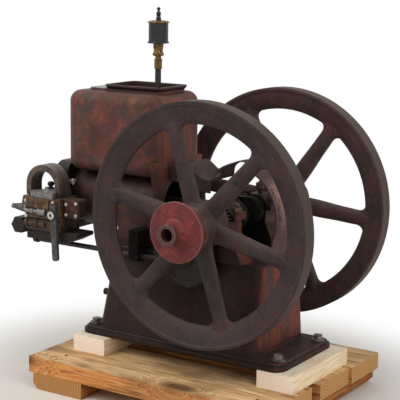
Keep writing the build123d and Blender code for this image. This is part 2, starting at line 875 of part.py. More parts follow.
# Horseshoe magnets side by side on the body
with BuildPart() as magnets:
    bar_half = magnet_span / 2 - magnet_bar / 2
    magnet_x = magneto_x - magnet_setback
    spring_line_z = magneto_top_rise + magnet_height - magnet_span / 2
    for magnet in range(magnet_count):
        magnet_near_y = magneto_near_y + magnet_front_inset + magnet * (magnet_width + magnet_gap)
        with BuildSketch(side(magnet_near_y + magnet_width)):
            with BuildLine():
                Line((magnet_x + bar_half, magneto_top_rise), (magnet_x + bar_half, spring_line_z))
                CenterArc((magnet_x, spring_line_z), bar_half, 0, 180)
                Line((magnet_x - bar_half, spring_line_z), (magnet_x - bar_half, magneto_top_rise))
            trace(line_width=magnet_bar)
        extrude(amount=magnet_width)
magnets.part.label = "magnets"
export_step(magnets.part, "parts/magnets.step")

# Top plate with scooped ends, notched round the magnets' right legs, and its two terminals
with BuildPart() as top_plate:
    with BuildSketch(level(magneto_top_rise)):
        with Locations((magneto_x, magneto_y)):
            Rectangle(top_plate_length, magneto_depth)
        scoop_x = top_plate_length / 2 + top_plate_scoop_radius - top_plate_scoop_inset
        with Locations((magneto_x - scoop_x, magneto_y), (magneto_x + scoop_x, magneto_y)):
            Circle(top_plate_scoop_radius, mode=Mode.SUBTRACT)
        magnet_rows = magnet_count * magnet_width + (magnet_count - 1) * magnet_gap
        with Locations((magnet_x + bar_half, magneto_near_y + magnet_front_inset + magnet_rows / 2)):
            Rectangle(magnet_bar + 2 * magnet_clearance, magnet_rows + 2 * magnet_clearance,
                      mode=Mode.SUBTRACT)
    extrude(amount=top_plate_thick)
top_plate.part.label = "top_plate"
export_step(top_plate.part, "parts/top_plate.step")

with BuildPart() as terminals:
    with BuildSketch(level(magneto_top_rise + top_plate_thick)):
        with Locations((magneto_x - terminal_spread / 2, magneto_far_y - terminal_setback),
                       (magneto_x + terminal_spread / 2, magneto_far_y - terminal_setback)):
            Circle(terminal_radius)
    extrude(amount=terminal_height)
terminals.part.label = "terminals"
export_step(terminals.part, "parts/terminals.step")

# Tapered spring barrel and the six-sided roller on the body's left end
with BuildPart() as spring_barrel:
    spring_z = magneto_top_rise - spring_drop
    spring_y = magneto_near_y + spring_setback
    tip_start = spring_collar_length + spring_cone_length
    barrel_middle = Plane(origin=(crank_x + magneto_left_x, crank_y + spring_y, crank_z + spring_z),
                          x_dir=(-1, 0, 0), z_dir=(0, 1, 0))
    with BuildSketch(barrel_middle):
        with BuildLine():
            Polyline(
                (0, 0), (0, spring_radius), (spring_collar_length, spring_radius),
                (tip_start, spring_tip_radius), (spring_length, spring_tip_radius), (spring_length, 0),
                close=True,
            )
        make_face()
    revolve(axis=Axis(barrel_middle.origin, barrel_middle.x_dir))
spring_barrel.part.label = "spring_barrel"
export_step(spring_barrel.part, "parts/spring_barrel.step")

with BuildPart() as roller:
    roller_far_y = magneto_near_y + roller_setback + roller_width
    with BuildSketch(side(roller_far_y)):
        with Locations((magneto_left_x - roller_radius, magneto_top_rise - roller_drop)):
            RegularPolygon(roller_radius, 6)
    extrude(amount=roller_width)
roller.part.label = "roller"
export_step(roller.part, "parts/roller.step")

# Bracket that carries the magneto: a shelf with a sloped end, and a plate bolted to the head
with BuildPart() as magneto_bracket:
    shelf_left_x = magneto_left_x + roller_setback
    with BuildSketch(side(magneto_far_y)):
        with BuildLine():
            Polyline(
                (shelf_left_x, magneto_bottom_z),
                (shelf_left_x + shelf_length, magneto_bottom_z),
                (shelf_left_x + shelf_length, shelf_bottom_z + shelf_chamfer),
                (shelf_left_x + shelf_length - 2 * shelf_chamfer, shelf_bottom_z),
                (shelf_left_x, shelf_bottom_z),
                close=True,
            )
        make_face()
    extrude(amount=magneto_depth - shelf_front_inset)
    with BuildSketch(side(magneto_far_y + back_plate_thick)):
        with Locations((magneto_right_x - back_plate_length / 2, (magneto_top_rise + shelf_bottom_z) / 2)):
            Rectangle(back_plate_length, magneto_top_rise - shelf_bottom_z)
    extrude(amount=back_plate_thick)
magneto_bracket.part.label = "magneto_bracket"
export_step(magneto_bracket.part, "parts/magneto_bracket.step")

# Trip lever hanging from the magneto shaft
with BuildPart() as trip_lever:
    with BuildSketch(side(magneto_near_y - lever_gap)):
        with BuildLine():
            Polyline(
                (lever_x - lever_width / 2, lever_z + lever_rise),
                (lever_x + lever_width / 2, lever_z + lever_rise),
                (lever_x + lever_lean + lever_foot_width / 2, lever_z - lever_reach),
                (lever_x + lever_lean - lever_foot_width / 2, lever_z - lever_reach),
                close=True,
            )
        make_face()
        with Locations((lever_x, lever_z)):
            Circle(lever_boss_radius)
            Circle(lever_shaft_radius + running_gap, mode=Mode.SUBTRACT)
    extrude(amount=lever_thick)
    lever_ends = trip_lever.edges().filter_by(Axis.Y).group_by(Axis.Z)
    fillet(lever_ends[0] + lever_ends[-1], radius=lever_corner)
trip_lever.part.label = "trip_lever"
export_step(trip_lever.part, "parts/trip_lever.step")

# Push rod below the magneto, and the guide that carries it on the cylinder foot
with BuildPart() as push_rod:
    push_rod_right_x = cam_x - cam_hub_radius - push_rod_cam_gap
    with BuildSketch(across(rocker_x)):
        with Locations((push_rod_y, push_rod_z)):
            Circle(push_rod_radius)
    extrude(amount=push_rod_right_x - rocker_x)
push_rod.part.label = "push_rod"
export_step(push_rod.part, "parts/push_rod.step")

with BuildPart() as push_rod_guide:
    guide_left_x = -hopper_reach - guide_setback - guide_length
    guide_bottom_z = push_rod_z - guide_margin
    guide_near_y = push_rod_y - guide_margin
    pedestal_run = (pedestal_width - pedestal_top_width) / 2
    pedestal_side = pedestal_top_width / 2 + pedestal_run * (pedestal_top_z - guide_bottom_z) / pedestal_rise
    guide_step_y = -pedestal_side - guide_clearance
    with BuildSketch(across(guide_left_x)):
        with BuildLine():
            Polyline(
                (-foot_width / 2, seat_z + guide_rise),
                (guide_near_y, seat_z + guide_rise),
                (guide_near_y, guide_bottom_z),
                (guide_step_y, guide_bottom_z),
                (guide_step_y, pedestal_top_z + guide_clearance),
                (-foot_width / 2, pedestal_top_z + guide_clearance),
                close=True,
            )
        make_face()
        with Locations((push_rod_y, push_rod_z)):
            Circle(push_rod_radius, mode=Mode.SUBTRACT)
    extrude(amount=guide_length)
push_rod_guide.part.label = "push_rod_guide"
export_step(push_rod_guide.part, "parts/push_rod_guide.step")

# Crankshaft with its webs and pin, at inner dead centre
with BuildPart() as crankshaft:
    for far_y, near_y in ((shaft_far_y, web_space / 2), (-web_space / 2, shaft_near_y)):
        with BuildSketch(side(far_y)):
            Circle(journal_radius)
        extrude(amount=far_y - near_y)
    for far_y in (web_space / 2 + web_thick, -web_space / 2):
        with BuildSketch(side(far_y)):
            Circle(web_shaft_radius)
            with Locations((-crank_throw, 0)):
                Circle(web_pin_radius)
            make_hull()
        extrude(amount=web_thick)
    with BuildSketch(side(web_space / 2)):
        with Locations((-crank_throw, 0)):
            Circle(crank_pin_radius)
    extrude(amount=web_space)
crankshaft.part.label = "crankshaft"
export_step(crankshaft.part, "parts/crankshaft.step")

# Connecting rod, and the cap that closes its big end
with BuildPart() as connecting_rod:
    with BuildSketch(side(rod_big_width / 2)):
        with Locations((-crank_throw, 0)):
            Circle(rod_big_radius)
        with Locations((-crank_throw - rod_cap_depth / 2, 0)):
            Rectangle(rod_cap_depth, rod_bolt_spread + 2 * rod_bolt_boss_radius)
        with Locations((rod_big_radius - crank_throw, 0)):
            Rectangle(2 * rod_big_radius, 2 * (rod_bolt_spread + rod_big_radius), mode=Mode.SUBTRACT)
    extrude(amount=rod_big_width)
    with BuildSketch(side(rod_small_width / 2)):
        with Locations((-crank_throw - rod_length, 0)):
            Circle(rod_small_radius)
    extrude(amount=rod_small_width)
    with BuildSketch(side(rod_shank_width / 2)):
        with BuildLine():
            Polyline(
                (-crank_throw - crank_pin_radius, rod_shank_big_height / 2),
                (-crank_throw - rod_length, rod_shank_small_height / 2),
                (-crank_throw - rod_length, -rod_shank_small_height / 2),
                (-crank_throw - crank_pin_radius, -rod_shank_big_height / 2),
                close=True,
            )
        make_face()
    extrude(amount=rod_shank_width)
    with BuildSketch(side(rod_big_width / 2)):
        with Locations((-crank_throw, 0)):
            Circle(crank_pin_radius + running_gap)
        with Locations((-crank_throw - rod_length, 0)):
            Circle(rod_small_hole_radius)
    extrude(amount=rod_big_width, mode=Mode.SUBTRACT)
connecting_rod.part.label = "connecting_rod"
export_step(connecting_rod.part, "parts/connecting_rod.step")

with BuildPart() as rod_cap:
    with BuildSketch(side(rod_big_width / 2)):
        with Locations((-crank_throw, 0)):
            Circle(rod_big_radius)
        with Locations((-crank_throw + rod_cap_depth / 2, 0)):
            Rectangle(rod_cap_depth, rod_bolt_spread + 2 * rod_bolt_boss_radius)
        with Locations((-rod_big_radius - crank_throw, 0)):
            Rectangle(2 * rod_big_radius, 2 * (rod_bolt_spread + rod_big_radius), mode=Mode.SUBTRACT)
        with Locations((-crank_throw, 0)):
            Circle(crank_pin_radius + running_gap, mode=Mode.SUBTRACT)
    extrude(amount=rod_big_width)
rod_cap.part.label = "rod_cap"
export_step(rod_cap.part, "parts/rod_cap.step")

# Flywheels
with BuildPart() as flywheel_near:
    add(make_wheel(-wheel_spacing / 2, near_wheel_turn))
flywheel_near.part.label = "flywheel_near"
export_step(flywheel_near.part, "parts/flywheel_near.step")

with BuildPart() as flywheel_far:
    add(make_wheel(wheel_spacing / 2, far_wheel_turn))
flywheel_far.part.label = "flywheel_far"
export_step(flywheel_far.part, "parts/flywheel_far.step")

# Red hub: drum, dished disc, curved boss and a nose with an open bore
with BuildPart() as red_hub:
    with BuildSketch(level(0)):
        with BuildLine():
            boss = Spline((red_boss_radius, red_boss_y), (red_nose_radius, red_nose_y + red_nose_length),
                          tangents=((-1, 0), (0, -1)))
            Polyline(
                boss @ 1,
                (red_nose_radius, red_nose_y),
                (red_bore_radius, red_nose_y),
                (red_bore_radius, shaft_near_y),
                (journal_radius, shaft_near_y),
                (journal_radius, -hub_face_y),
                (red_drum_radius, -hub_face_y),
                (red_drum_radius, red_disc_y),
                (red_disc_radius, red_disc_y),
                (red_disc_radius, red_disc_y - red_disc_thick),
                boss @ 0,
            )
        make_face()
    revolve(axis=crank_axis)
red_hub.part.label = "red_hub"
export_step(red_hub.part, "parts/red_hub.step")

# Timing gears, in mesh at rest
with BuildPart() as crank_gear:
    with BuildSketch(side(gear_far_y)):
        with BuildLine():
            Polyline(*gear_outline(crank_gear_teeth, cam_direction_angle, (0, 0)), close=True)
        make_face()
        Circle(journal_radius, mode=Mode.SUBTRACT)
    extrude(amount=gear_width)
crank_gear.part.label = "crank_gear"
export_step(crank_gear.part, "parts/crank_gear.step")

with BuildPart() as cam_gear:
    cam_gear_turn = cam_direction_angle - 180 + 180 / cam_gear_teeth
    with BuildSketch(side(gear_far_y)):
        with BuildLine():
            Polyline(*gear_outline(cam_gear_teeth, cam_gear_turn, (cam_x, cam_z)), close=True)
        make_face()
    extrude(amount=gear_width)
    for face_y, depth in ((gear_near_y, -cam_web_recess), (gear_far_y, cam_web_recess)):
        with BuildSketch(side(face_y)):
            with Locations((cam_x, cam_z)):
                Circle(cam_web_outer_radius)
                Circle(cam_web_inner_radius, mode=Mode.SUBTRACT)
        extrude(amount=depth, mode=Mode.SUBTRACT)
    with BuildSketch(side(gear_far_y + cam_hub_depth)):
        with Locations((cam_x, cam_z)):
            Circle(cam_hub_radius)
    extrude(amount=cam_hub_depth)
    with BuildSketch(side(gear_far_y + cam_hub_depth)):
        with Locations((cam_x, cam_z)):
            Circle(cam_stud_radius + running_gap)
    extrude(amount=cam_hub_depth + gear_width, mode=Mode.SUBTRACT)
cam_gear.part.label = "cam_gear"
export_step(cam_gear.part, "parts/cam_gear.step")
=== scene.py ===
"""Dresses the hopper-cooled engine on its timber stand: its finishes and its small fittings."""

import math

import bmesh
import bpy
from mathutils import Matrix, Vector


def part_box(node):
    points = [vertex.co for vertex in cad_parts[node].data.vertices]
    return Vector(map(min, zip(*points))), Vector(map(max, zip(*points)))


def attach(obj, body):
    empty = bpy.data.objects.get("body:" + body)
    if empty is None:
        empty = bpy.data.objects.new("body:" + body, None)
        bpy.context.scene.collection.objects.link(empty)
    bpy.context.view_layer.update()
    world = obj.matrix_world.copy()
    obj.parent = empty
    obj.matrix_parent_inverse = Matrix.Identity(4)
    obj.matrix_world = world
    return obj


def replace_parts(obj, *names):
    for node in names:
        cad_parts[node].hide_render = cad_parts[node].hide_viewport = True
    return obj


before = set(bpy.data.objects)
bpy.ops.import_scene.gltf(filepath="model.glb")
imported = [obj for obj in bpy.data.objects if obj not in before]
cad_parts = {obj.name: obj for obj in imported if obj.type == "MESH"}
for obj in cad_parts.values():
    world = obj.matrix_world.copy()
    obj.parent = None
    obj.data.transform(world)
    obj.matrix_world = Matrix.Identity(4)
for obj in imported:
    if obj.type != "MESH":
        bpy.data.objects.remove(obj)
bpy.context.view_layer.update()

# Timber stand. Two bearers carry three weathered deck boards, and pale new packing blocks lie under the
# engine's flange. It is sawn softwood, with its grain along each board and rings on the cut ends.
mm = 0.001


def linear(text):
    """An sRGB hex colour as linear RGBA."""
    parts = [int(text[i:i + 2], 16) / 255 for i in (1, 3, 5)]
    return [p / 12.92 if p <= 0.04045 else ((p + 0.055) / 1.055) ** 2.4 for p in parts] + [1]


def node(material, kind, links=None, **settings):
    """Adds one node: settings are its properties, and links its sockets' values or sources."""
    made = material.node_tree.nodes.new(kind)
    for name, value in settings.items():
        setattr(made, name, value)
    for socket, source in (links or {}).items():
        if isinstance(source, bpy.types.NodeSocket):
            material.node_tree.links.new(source, made.inputs[socket])
        else:
            made.inputs[socket].default_value = source
    return made


def new_material(name):
    """An empty node material."""
    material = bpy.data.materials.new(name)
    material.use_nodes = True
    material.node_tree.nodes.clear()
    return material


def sawn_timber(name, pale, tan, dark, knot, side, end, turn, knots_apart, rough):
    """Sawn softwood: grain bent round knots, stains, sides less bleached than the top, ringed ends.

    The real grain is 1 to 3 mm apart. It is drawn 9 mm wide, and the rings 7 mm, so that they show.
    """
    grain_width = 9 * mm
    line_width = 4 * mm
    ring_width = 7 * mm
    stain_size = 90 * mm
    ridge_height = 1.5 * mm
    material = new_material(name)
    place = node(material, "ShaderNodeTexCoord")
    turned_place = node(material, "ShaderNodeMapping", {
        "Vector": place.outputs["Object"], "Rotation": (0, 0, turn)})
    spread = node(material, "ShaderNodeMapping", {"Vector": turned_place.outputs[0], "Scale": (0.42, 1, 1)})
    cells = node(material, "ShaderNodeTexVoronoi", {"Vector": spread.outputs[0], "Scale": 1 / knots_apart})
    near_knot = node(material, "ShaderNodeMapRange", {
        "Value": cells.outputs["Distance"], "From Min": 0.0, "From Max": 0.24, "To Min": 1.0, "To Max": 0.0,
    }, interpolation_type="SMOOTHSTEP")
    bend = node(material, "ShaderNodeVectorMath", {0: turned_place.outputs[0], 1: (0, 1, 1)},
                operation="MULTIPLY")
    pushed = node(material, "ShaderNodeMapRange", {
        "Value": near_knot.outputs[0], "From Max": 1.0, "To Min": 1.0, "To Max": 0.55,
    })
    lines = node(material, "ShaderNodeVectorMath", {0: bend.outputs[0], "Scale": pushed.outputs[0]},
                 operation="SCALE")
    drawn = node(material, "ShaderNodeMapping", {"Vector": turned_place.outputs[0], "Scale": (0.05, 0, 0)})
    along = node(material, "ShaderNodeVectorMath", {0: lines.outputs[0], 1: drawn.outputs[0]},
                 operation="ADD")
    fibre = node(material, "ShaderNodeTexNoise", {
        "Vector": along.outputs[0], "Scale": 1 / grain_width, "Detail": 6.0, "Roughness": 0.65,
    })
    late_wood = node(material, "ShaderNodeTexNoise", {
        "Vector": along.outputs[0], "Scale": 1 / line_width, "Detail": 3.0, "Roughness": 0.5,
    })
    stain = node(material, "ShaderNodeTexNoise", {
        "Vector": spread.outputs[0], "Scale": 1 / stain_size, "Detail": 7.0, "Roughness": 0.6,
    })
    wide = node(material, "ShaderNodeMapRange", {"Value": fibre.outputs[0], "From Min": 0.4, "From Max": 0.6})
    sawn = node(material, "ShaderNodeMix", {0: wide.outputs[0], 6: linear(tan), 7: linear(pale)},
                data_type="RGBA")
    thin = node(material, "ShaderNodeMapRange", {
        "Value": late_wood.outputs[0], "From Min": 0.5, "From Max": 0.66, "To Max": 0.85,
    })
    lined = node(material, "ShaderNodeMix", {0: thin.outputs[0], 6: sawn.outputs[2], 7: linear(dark)},
                 data_type="RGBA")
    facing = node(material, "ShaderNodeNewGeometry")
    sides = node(material, "ShaderNodeSeparateXYZ", {0: facing.outputs["Normal"]})
    shaded = node(material, "ShaderNodeMapRange", {
        "Value": sides.outputs["Z"], "From Min": 0.8, "From Max": 0.3, "To Max": 0.7,
    })
    board = node(material, "ShaderNodeMix", {0: shaded.outputs[0], 6: lined.outputs[2], 7: linear(side)},
                 data_type="RGBA", blend_type="MULTIPLY")
    stained = node(material, "ShaderNodeMapRange", {
        "Value": stain.outputs[0], "From Min": 0.5, "From Max": 0.7, "To Max": 0.8,
    })
    weathered = node(material, "ShaderNodeMix", {0: stained.outputs[0], 6: board.outputs[2], 7: linear(dark)},
                     data_type="RGBA")
    heart = node(material, "ShaderNodeMapRange", {
        "Value": cells.outputs["Distance"], "From Min": 0.05, "From Max": 0.11, "To Min": 0.85, "To Max": 0.0,
    })
    knotted = node(material, "ShaderNodeMix", {0: heart.outputs[0], 6: weathered.outputs[2], 7: linear(knot)},
                   data_type="RGBA")
    rings = node(material, "ShaderNodeTexWave", {
        "Vector": turned_place.outputs[0], "Scale": math.pi / 10 / ring_width, "Distortion": 3.0,
        "Detail": 2.0, "Detail Scale": 0.6,
    }, wave_type="RINGS", rings_direction="X")
    ring_share = node(material, "ShaderNodeMapRange", {"Value": rings.outputs["Fac"], "To Max": 0.4})
    cut = node(material, "ShaderNodeMix", {0: ring_share.outputs[0], 6: linear(end), 7: linear(dark)},
               data_type="RGBA")
    grain_way = (math.cos(turn), math.sin(turn), 0)
    faced = node(material, "ShaderNodeVectorMath", {0: facing.outputs["Normal"], 1: grain_way},
                 operation="DOT_PRODUCT")
    squared = node(material, "ShaderNodeMath", {0: faced.outputs["Value"]}, operation="ABSOLUTE")
    ended = node(material, "ShaderNodeMapRange", {
        "Value": squared.outputs[0], "From Min": 0.6, "From Max": 0.8})
    colour = node(material, "ShaderNodeMix", {0: ended.outputs[0], 6: knotted.outputs[2], 7: cut.outputs[2]},
                  data_type="RGBA")
    ridge = node(material, "ShaderNodeBump", {
        "Height": fibre.outputs[0], "Strength": 0.5, "Distance": ridge_height})
    surface = node(material, "ShaderNodeBsdfPrincipled", {
        "Base Color": colour.outputs[2], "Normal": ridge.outputs[0], "Roughness": rough,
        "Specular IOR Level": 0.2,
    })
    node(material, "ShaderNodeOutputMaterial", {"Surface": surface.outputs[0]})
    return material


def paint_node(name, material):
    """Gives a CAD node its finish."""
    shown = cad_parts[name]
    shown.data.materials.clear()
    shown.data.materials.append(material)


grain_across = math.radians(90)
# Old sawn softwood: warm orange-brown, with dark late-wood lines and stains.
bearer_timber = sawn_timber(
    "weathered softwood bearers", pale="#c2935f", tan="#9a6c40", dark="#64462d", knot="#4d2e1b",
    side="#dca05e", end="#ba854f", turn=grain_across, knots_apart=240 * mm, rough=0.8,
)
# Weathered softwood: bleached tan on top, orange on its sawn sides, with dark grain and knots.
deck_timber = sawn_timber(
    "weathered softwood boards", pale="#e9c391", tan="#cc9d69", dark="#7a5636", knot="#57331d",
    side="#f4b870", end="#c8985f", turn=0, knots_apart=210 * mm, rough=0.75,
)
# New dressed pine: almost white, with faint cream grain.
block_timber = sawn_timber(
    "new pine packing", pale="#fff6e2", tan="#faeacd", dark="#e6cba6", knot="#a06a3c", side="#fff0da",
    end="#fff0de", turn=grain_across, knots_apart=260 * mm, rough=0.65,
)
paint_node("bearers", bearer_timber)
paint_node("deck_boards", deck_timber)
paint_node("packing_blocks", block_timber)

# Deck nails. Round-headed wire nails of mild steel, two at each end of every board. They are driven into the
# bearers below, and have rusted brown.
near_board_width = 184 * mm
near_board_gap = 28 * mm
board_width = 140 * mm
nail_radius = 4.5 * mm
nail_rise = 1.2 * mm
nail_crown_share = 0.7
nail_end_margin = 70 * mm
nail_spread = 42 * mm


def new_piece(shape, name, body, material, smooth_angle=30):
    """Makes a mesh piece at the origin, rides it on its body and gives it its finish."""
    bmesh.ops.recalc_face_normals(shape, faces=shape.faces)
    mesh = bpy.data.meshes.new(name)
    shape.to_mesh(mesh)
    shape.free()
    mesh.shade_smooth()
    mesh.set_sharp_from_angle(angle=math.radians(smooth_angle))
    piece = bpy.data.objects.new(name, mesh)
    bpy.context.scene.collection.objects.link(piece)
    mesh.materials.append(material)
    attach(piece, body)
    return piece


def turned(shape, outline, place, axis, steps=28):
    """Adds a turned form: outline is (radius, distance along the axis) from one end to the other."""
    weld_gap = 0.01 * mm
    across = Vector(axis).orthogonal().normalized()
    verts = [shape.verts.new(Vector(place) + across * r + Vector(axis) * d) for r, d in outline]
    edges = [shape.edges.new(pair) for pair in zip(verts, verts[1:])]
    bmesh.ops.spin(shape, geom=verts + edges, cent=place, axis=axis, angle=2 * math.pi, steps=steps,
                   use_merge=True)
    bmesh.ops.remove_doubles(shape, verts=shape.verts, dist=weld_gap)


def dull_metal(name, dark, light, metallic, rough_low, rough_high, patch, shine=0.3):
    """Bare or thinly coated metal gone dull: two tones in patches, painted shade in recesses, fine pitting
    and uneven gloss.

    The pits are finer than a millimetre, and are drawn 3 mm wide so that they show.
    """
    pit_size = 3 * mm
    pit_depth = 0.8 * mm
    recess_shade_reach = 12 * mm
    material = new_material(name)
    place = node(material, "ShaderNodeTexCoord")
    patches = node(material, "ShaderNodeTexNoise", {
        "Vector": place.outputs["Object"], "Scale": 1 / patch, "Detail": 8.0, "Roughness": 0.68,
    })
    pits = node(material, "ShaderNodeTexNoise", {
        "Vector": place.outputs["Object"], "Scale": 1 / pit_size, "Detail": 3.0,
    })
    share = node(material, "ShaderNodeMapRange", {
        "Value": patches.outputs[0], "From Min": 0.36, "From Max": 0.64})
    colour = node(material, "ShaderNodeMix", {0: share.outputs[0], 6: linear(dark), 7: linear(light)},
                  data_type="RGBA")
    # Painted shade: the colour is darkened in recesses, within the occlusion's reach.
    recess_shade = node(material, "ShaderNodeAmbientOcclusion", {
        "Color": colour.outputs[2], "Distance": recess_shade_reach}, samples=6)
    gloss = node(material, "ShaderNodeMapRange", {
        "Value": patches.outputs[0], "From Min": 0.3, "From Max": 0.7,
        "To Min": rough_high, "To Max": rough_low,
    })
    relief = node(material, "ShaderNodeBump", {
        "Height": pits.outputs[0], "Strength": 0.35, "Distance": pit_depth})
    surface = node(material, "ShaderNodeBsdfPrincipled", {
        "Base Color": recess_shade.outputs["Color"], "Roughness": gloss.outputs[0], "Normal": relief.outputs[0],
        "Metallic": metallic, "Specular IOR Level": shine,
    })
    node(material, "ShaderNodeOutputMaterial", {"Surface": surface.outputs[0]})
    return material


# Rusted steel: dark brown with paler scuffs, and hardly any shine.
rusty_steel = dull_metal(
    "rusty mild steel", dark="#3a2a20", light="#6d5240", metallic=0.3, rough_low=0.45, rough_high=0.8,
    patch=9 * mm,
)
boards_low, boards_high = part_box("deck_boards")
board_middles = (
    boards_low.y + near_board_width / 2,
    boards_low.y + near_board_width + near_board_gap + board_width / 2,
    boards_high.y - board_width / 2,
)
nail_outline = [(0, nail_rise), (nail_radius * nail_crown_share, nail_rise), (nail_radius, 0)]
nails = bmesh.new()
for board_middle in board_middles:
    for nail_x in (boards_low.x + nail_end_margin, boards_high.x - nail_end_margin):
        for way in (-1, 1):
            nail_at = (nail_x, board_middle + way * nail_spread, boards_high.z)
            turned(nails, nail_outline, nail_at, (0, 0, 1), 12)
new_piece(nails, "deck_nails", "frame", rusty_steel)

# Base casting. Hollow cast iron with a bolted flange and two bearing posts. Its red paint is worn to dark
# grease on the sides and flange, with painted shade on its near face, and orange-brown streaks on the right
# end that are partly paint and partly painted light.


def old_casting(name, deep, mid, bright, tint, bare_and_edge_highlight, grease_and_shade, blotch, patch, rough, bright_share=0.4,
                bare_share=0.6, edge_wear_and_highlight_share=0.5, tint_from=0.48, right_tone_and_light_share=0.0, right_tone_and_light_from=0.0, right_tone_and_light_axis="Z",
                right_tone_and_light_lean=0.6, near_face_shade_share=0.0, low_share=0.0, low_from=0.0, low_to=0.0, low_axis="Z",
                high_share=0.0, high_from=1.0, high_axis="Z", line_soft=4 * mm, dust_and_top_light="#5b4c44",
                dust_and_top_light_share=0.35, dust_and_top_light_from=0.35, dust_and_top_light_to=0.95, recess_shade_share=0.85, soft_edge=4 * mm):
    """Old painted or rusted cast iron: blotched tones, worn patches, grease runs, edges paler as wear and
    painted highlight.

    What faces right past a given line may be brighter, partly as its paint and partly as painted light, and
    what faces up takes the dust colour, partly dust and partly painted light from above. Grease gathers
    beyond the low and high lines, and its colour also paints shade on the near face and in recesses. Edges
    and inner corners look soft within soft_edge.
    Sand-cast grain is about a millimetre, and is drawn 5 mm wide so that it shows.
    """
    grain_size = 5 * mm
    run_width = 26 * mm
    edge_width = 4 * mm
    recess_shade_reach = 45 * mm
    grain_depth = 1.6 * mm
    material = new_material(name)
    place = node(material, "ShaderNodeTexCoord")
    blotches = node(material, "ShaderNodeTexNoise", {
        "Vector": place.outputs["Object"], "Scale": 1 / blotch, "Detail": 9.0, "Roughness": 0.62,
    })
    tints = node(material, "ShaderNodeTexNoise", {
        "Vector": place.outputs["Object"], "W": 3.7, "Scale": 1.6 / blotch, "Detail": 7.0, "Roughness": 0.6,
    }, noise_dimensions="4D")
    patches = node(material, "ShaderNodeTexNoise", {
        "Vector": place.outputs["Object"], "Scale": 1 / patch, "Detail": 10.0, "Roughness": 0.72,
        "Distortion": 0.4,
    })
    drawn = node(material, "ShaderNodeMapping", {"Vector": place.outputs["Object"], "Scale": (1, 1, 0.1)})
    runs = node(material, "ShaderNodeTexNoise", {
        "Vector": drawn.outputs[0], "Scale": 1 / run_width, "Detail": 6.0, "Roughness": 0.6,
    })
    grain = node(material, "ShaderNodeTexNoise", {
        "Vector": place.outputs["Object"], "Scale": 1 / grain_size, "Detail": 4.0,
    })
    tone = node(material, "ShaderNodeMapRange", {
        "Value": blotches.outputs[0], "From Min": 0.36, "From Max": 0.62})
    paint = node(material, "ShaderNodeMix", {0: tone.outputs[0], 6: linear(deep), 7: linear(mid)},
                 data_type="RGBA")
    tint_share = node(material, "ShaderNodeMapRange", {
        "Value": tints.outputs[0], "From Min": tint_from, "From Max": tint_from + 0.18, "To Max": 0.85})
    tinted = node(material, "ShaderNodeMix", {0: tint_share.outputs[0], 6: paint.outputs[2], 7: linear(tint)},
                  data_type="RGBA")
    shine = node(material, "ShaderNodeMapRange", {
        "Value": patches.outputs[0], "From Min": 0.6 - 0.2 * bright_share,
        "From Max": 0.78 - 0.2 * bright_share,
    })
    brighter = node(material, "ShaderNodeMix", {0: shine.outputs[0], 6: tinted.outputs[2], 7: linear(bright)},
                    data_type="RGBA")
    facing = node(material, "ShaderNodeNewGeometry")
    sides = node(material, "ShaderNodeSeparateXYZ", {0: facing.outputs["Normal"]})
    heights = node(material, "ShaderNodeSeparateXYZ", {0: place.outputs["Object"]})
    # What faces right is brightened in streaks: partly its paint and partly painted light from that side.
    right_face_tone_and_light = node(material, "ShaderNodeMapRange", {
        "Value": sides.outputs["X"], "From Min": right_tone_and_light_lean, "From Max": right_tone_and_light_lean + 0.35, "To Max": right_tone_and_light_share,
    })
    end_worn = node(material, "ShaderNodeMath", {0: runs.outputs[0], 1: patches.outputs[0]}, operation="ADD")
    end_patch = node(material, "ShaderNodeMapRange", {
        "Value": end_worn.outputs[0], "From Min": 1.16, "From Max": 0.9})
    end_high = node(material, "ShaderNodeMapRange", {
        "Value": heights.outputs[right_tone_and_light_axis], "From Min": right_tone_and_light_from, "From Max": right_tone_and_light_from + line_soft})
    end_run = node(material, "ShaderNodeMath", {0: right_face_tone_and_light.outputs[0], 1: end_patch.outputs[0]},
                   operation="MULTIPLY")
    end_amount = node(material, "ShaderNodeMath", {0: end_run.outputs[0], 1: end_high.outputs[0]},
                      operation="MULTIPLY")
    ended = node(material, "ShaderNodeMix", {
        0: end_amount.outputs[0], 6: brighter.outputs[2], 7: linear(bright)}, data_type="RGBA")
    # Painted shade: the near face takes the grease colour.
    near_face_shade = node(material, "ShaderNodeMapRange", {
        "Value": sides.outputs["Y"], "From Min": -0.6, "From Max": -0.95, "To Max": near_face_shade_share,
    })
    low_cut = node(material, "ShaderNodeMapRange", {
        "Value": heights.outputs[low_axis], "From Min": low_to, "From Max": low_from, "To Max": low_share,
    })
    high_cut = node(material, "ShaderNodeMapRange", {
        "Value": heights.outputs[high_axis], "From Min": high_from, "From Max": high_from + line_soft,
        "To Max": high_share,
    })
    run_share = node(material, "ShaderNodeMapRange", {
        "Value": runs.outputs[0], "From Min": 0.5, "From Max": 0.72, "To Max": 0.5,
    })
    limits = node(material, "ShaderNodeMath", {0: high_cut.outputs[0], 1: low_cut.outputs[0]},
                  operation="MAXIMUM")
    soiled_and_shaded = node(material, "ShaderNodeMath", {0: near_face_shade.outputs[0], 1: limits.outputs[0]},
                  operation="MAXIMUM")
    run_amount = node(material, "ShaderNodeMath", {0: run_share.outputs[0], 1: soiled_and_shaded.outputs[0]},
                      operation="MAXIMUM")
    greased = node(material, "ShaderNodeMix", {
        0: run_amount.outputs[0], 6: ended.outputs[2], 7: linear(grease_and_shade)}, data_type="RGBA")
    bare_cut = node(material, "ShaderNodeMapRange", {
        "Value": patches.outputs[0], "From Min": 0.36, "From Max": 0.28, "To Max": bare_share,
    })
    chipped = node(material, "ShaderNodeMix", {
        0: bare_cut.outputs[0], 6: greased.outputs[2], 7: linear(bare_and_edge_highlight)}, data_type="RGBA")
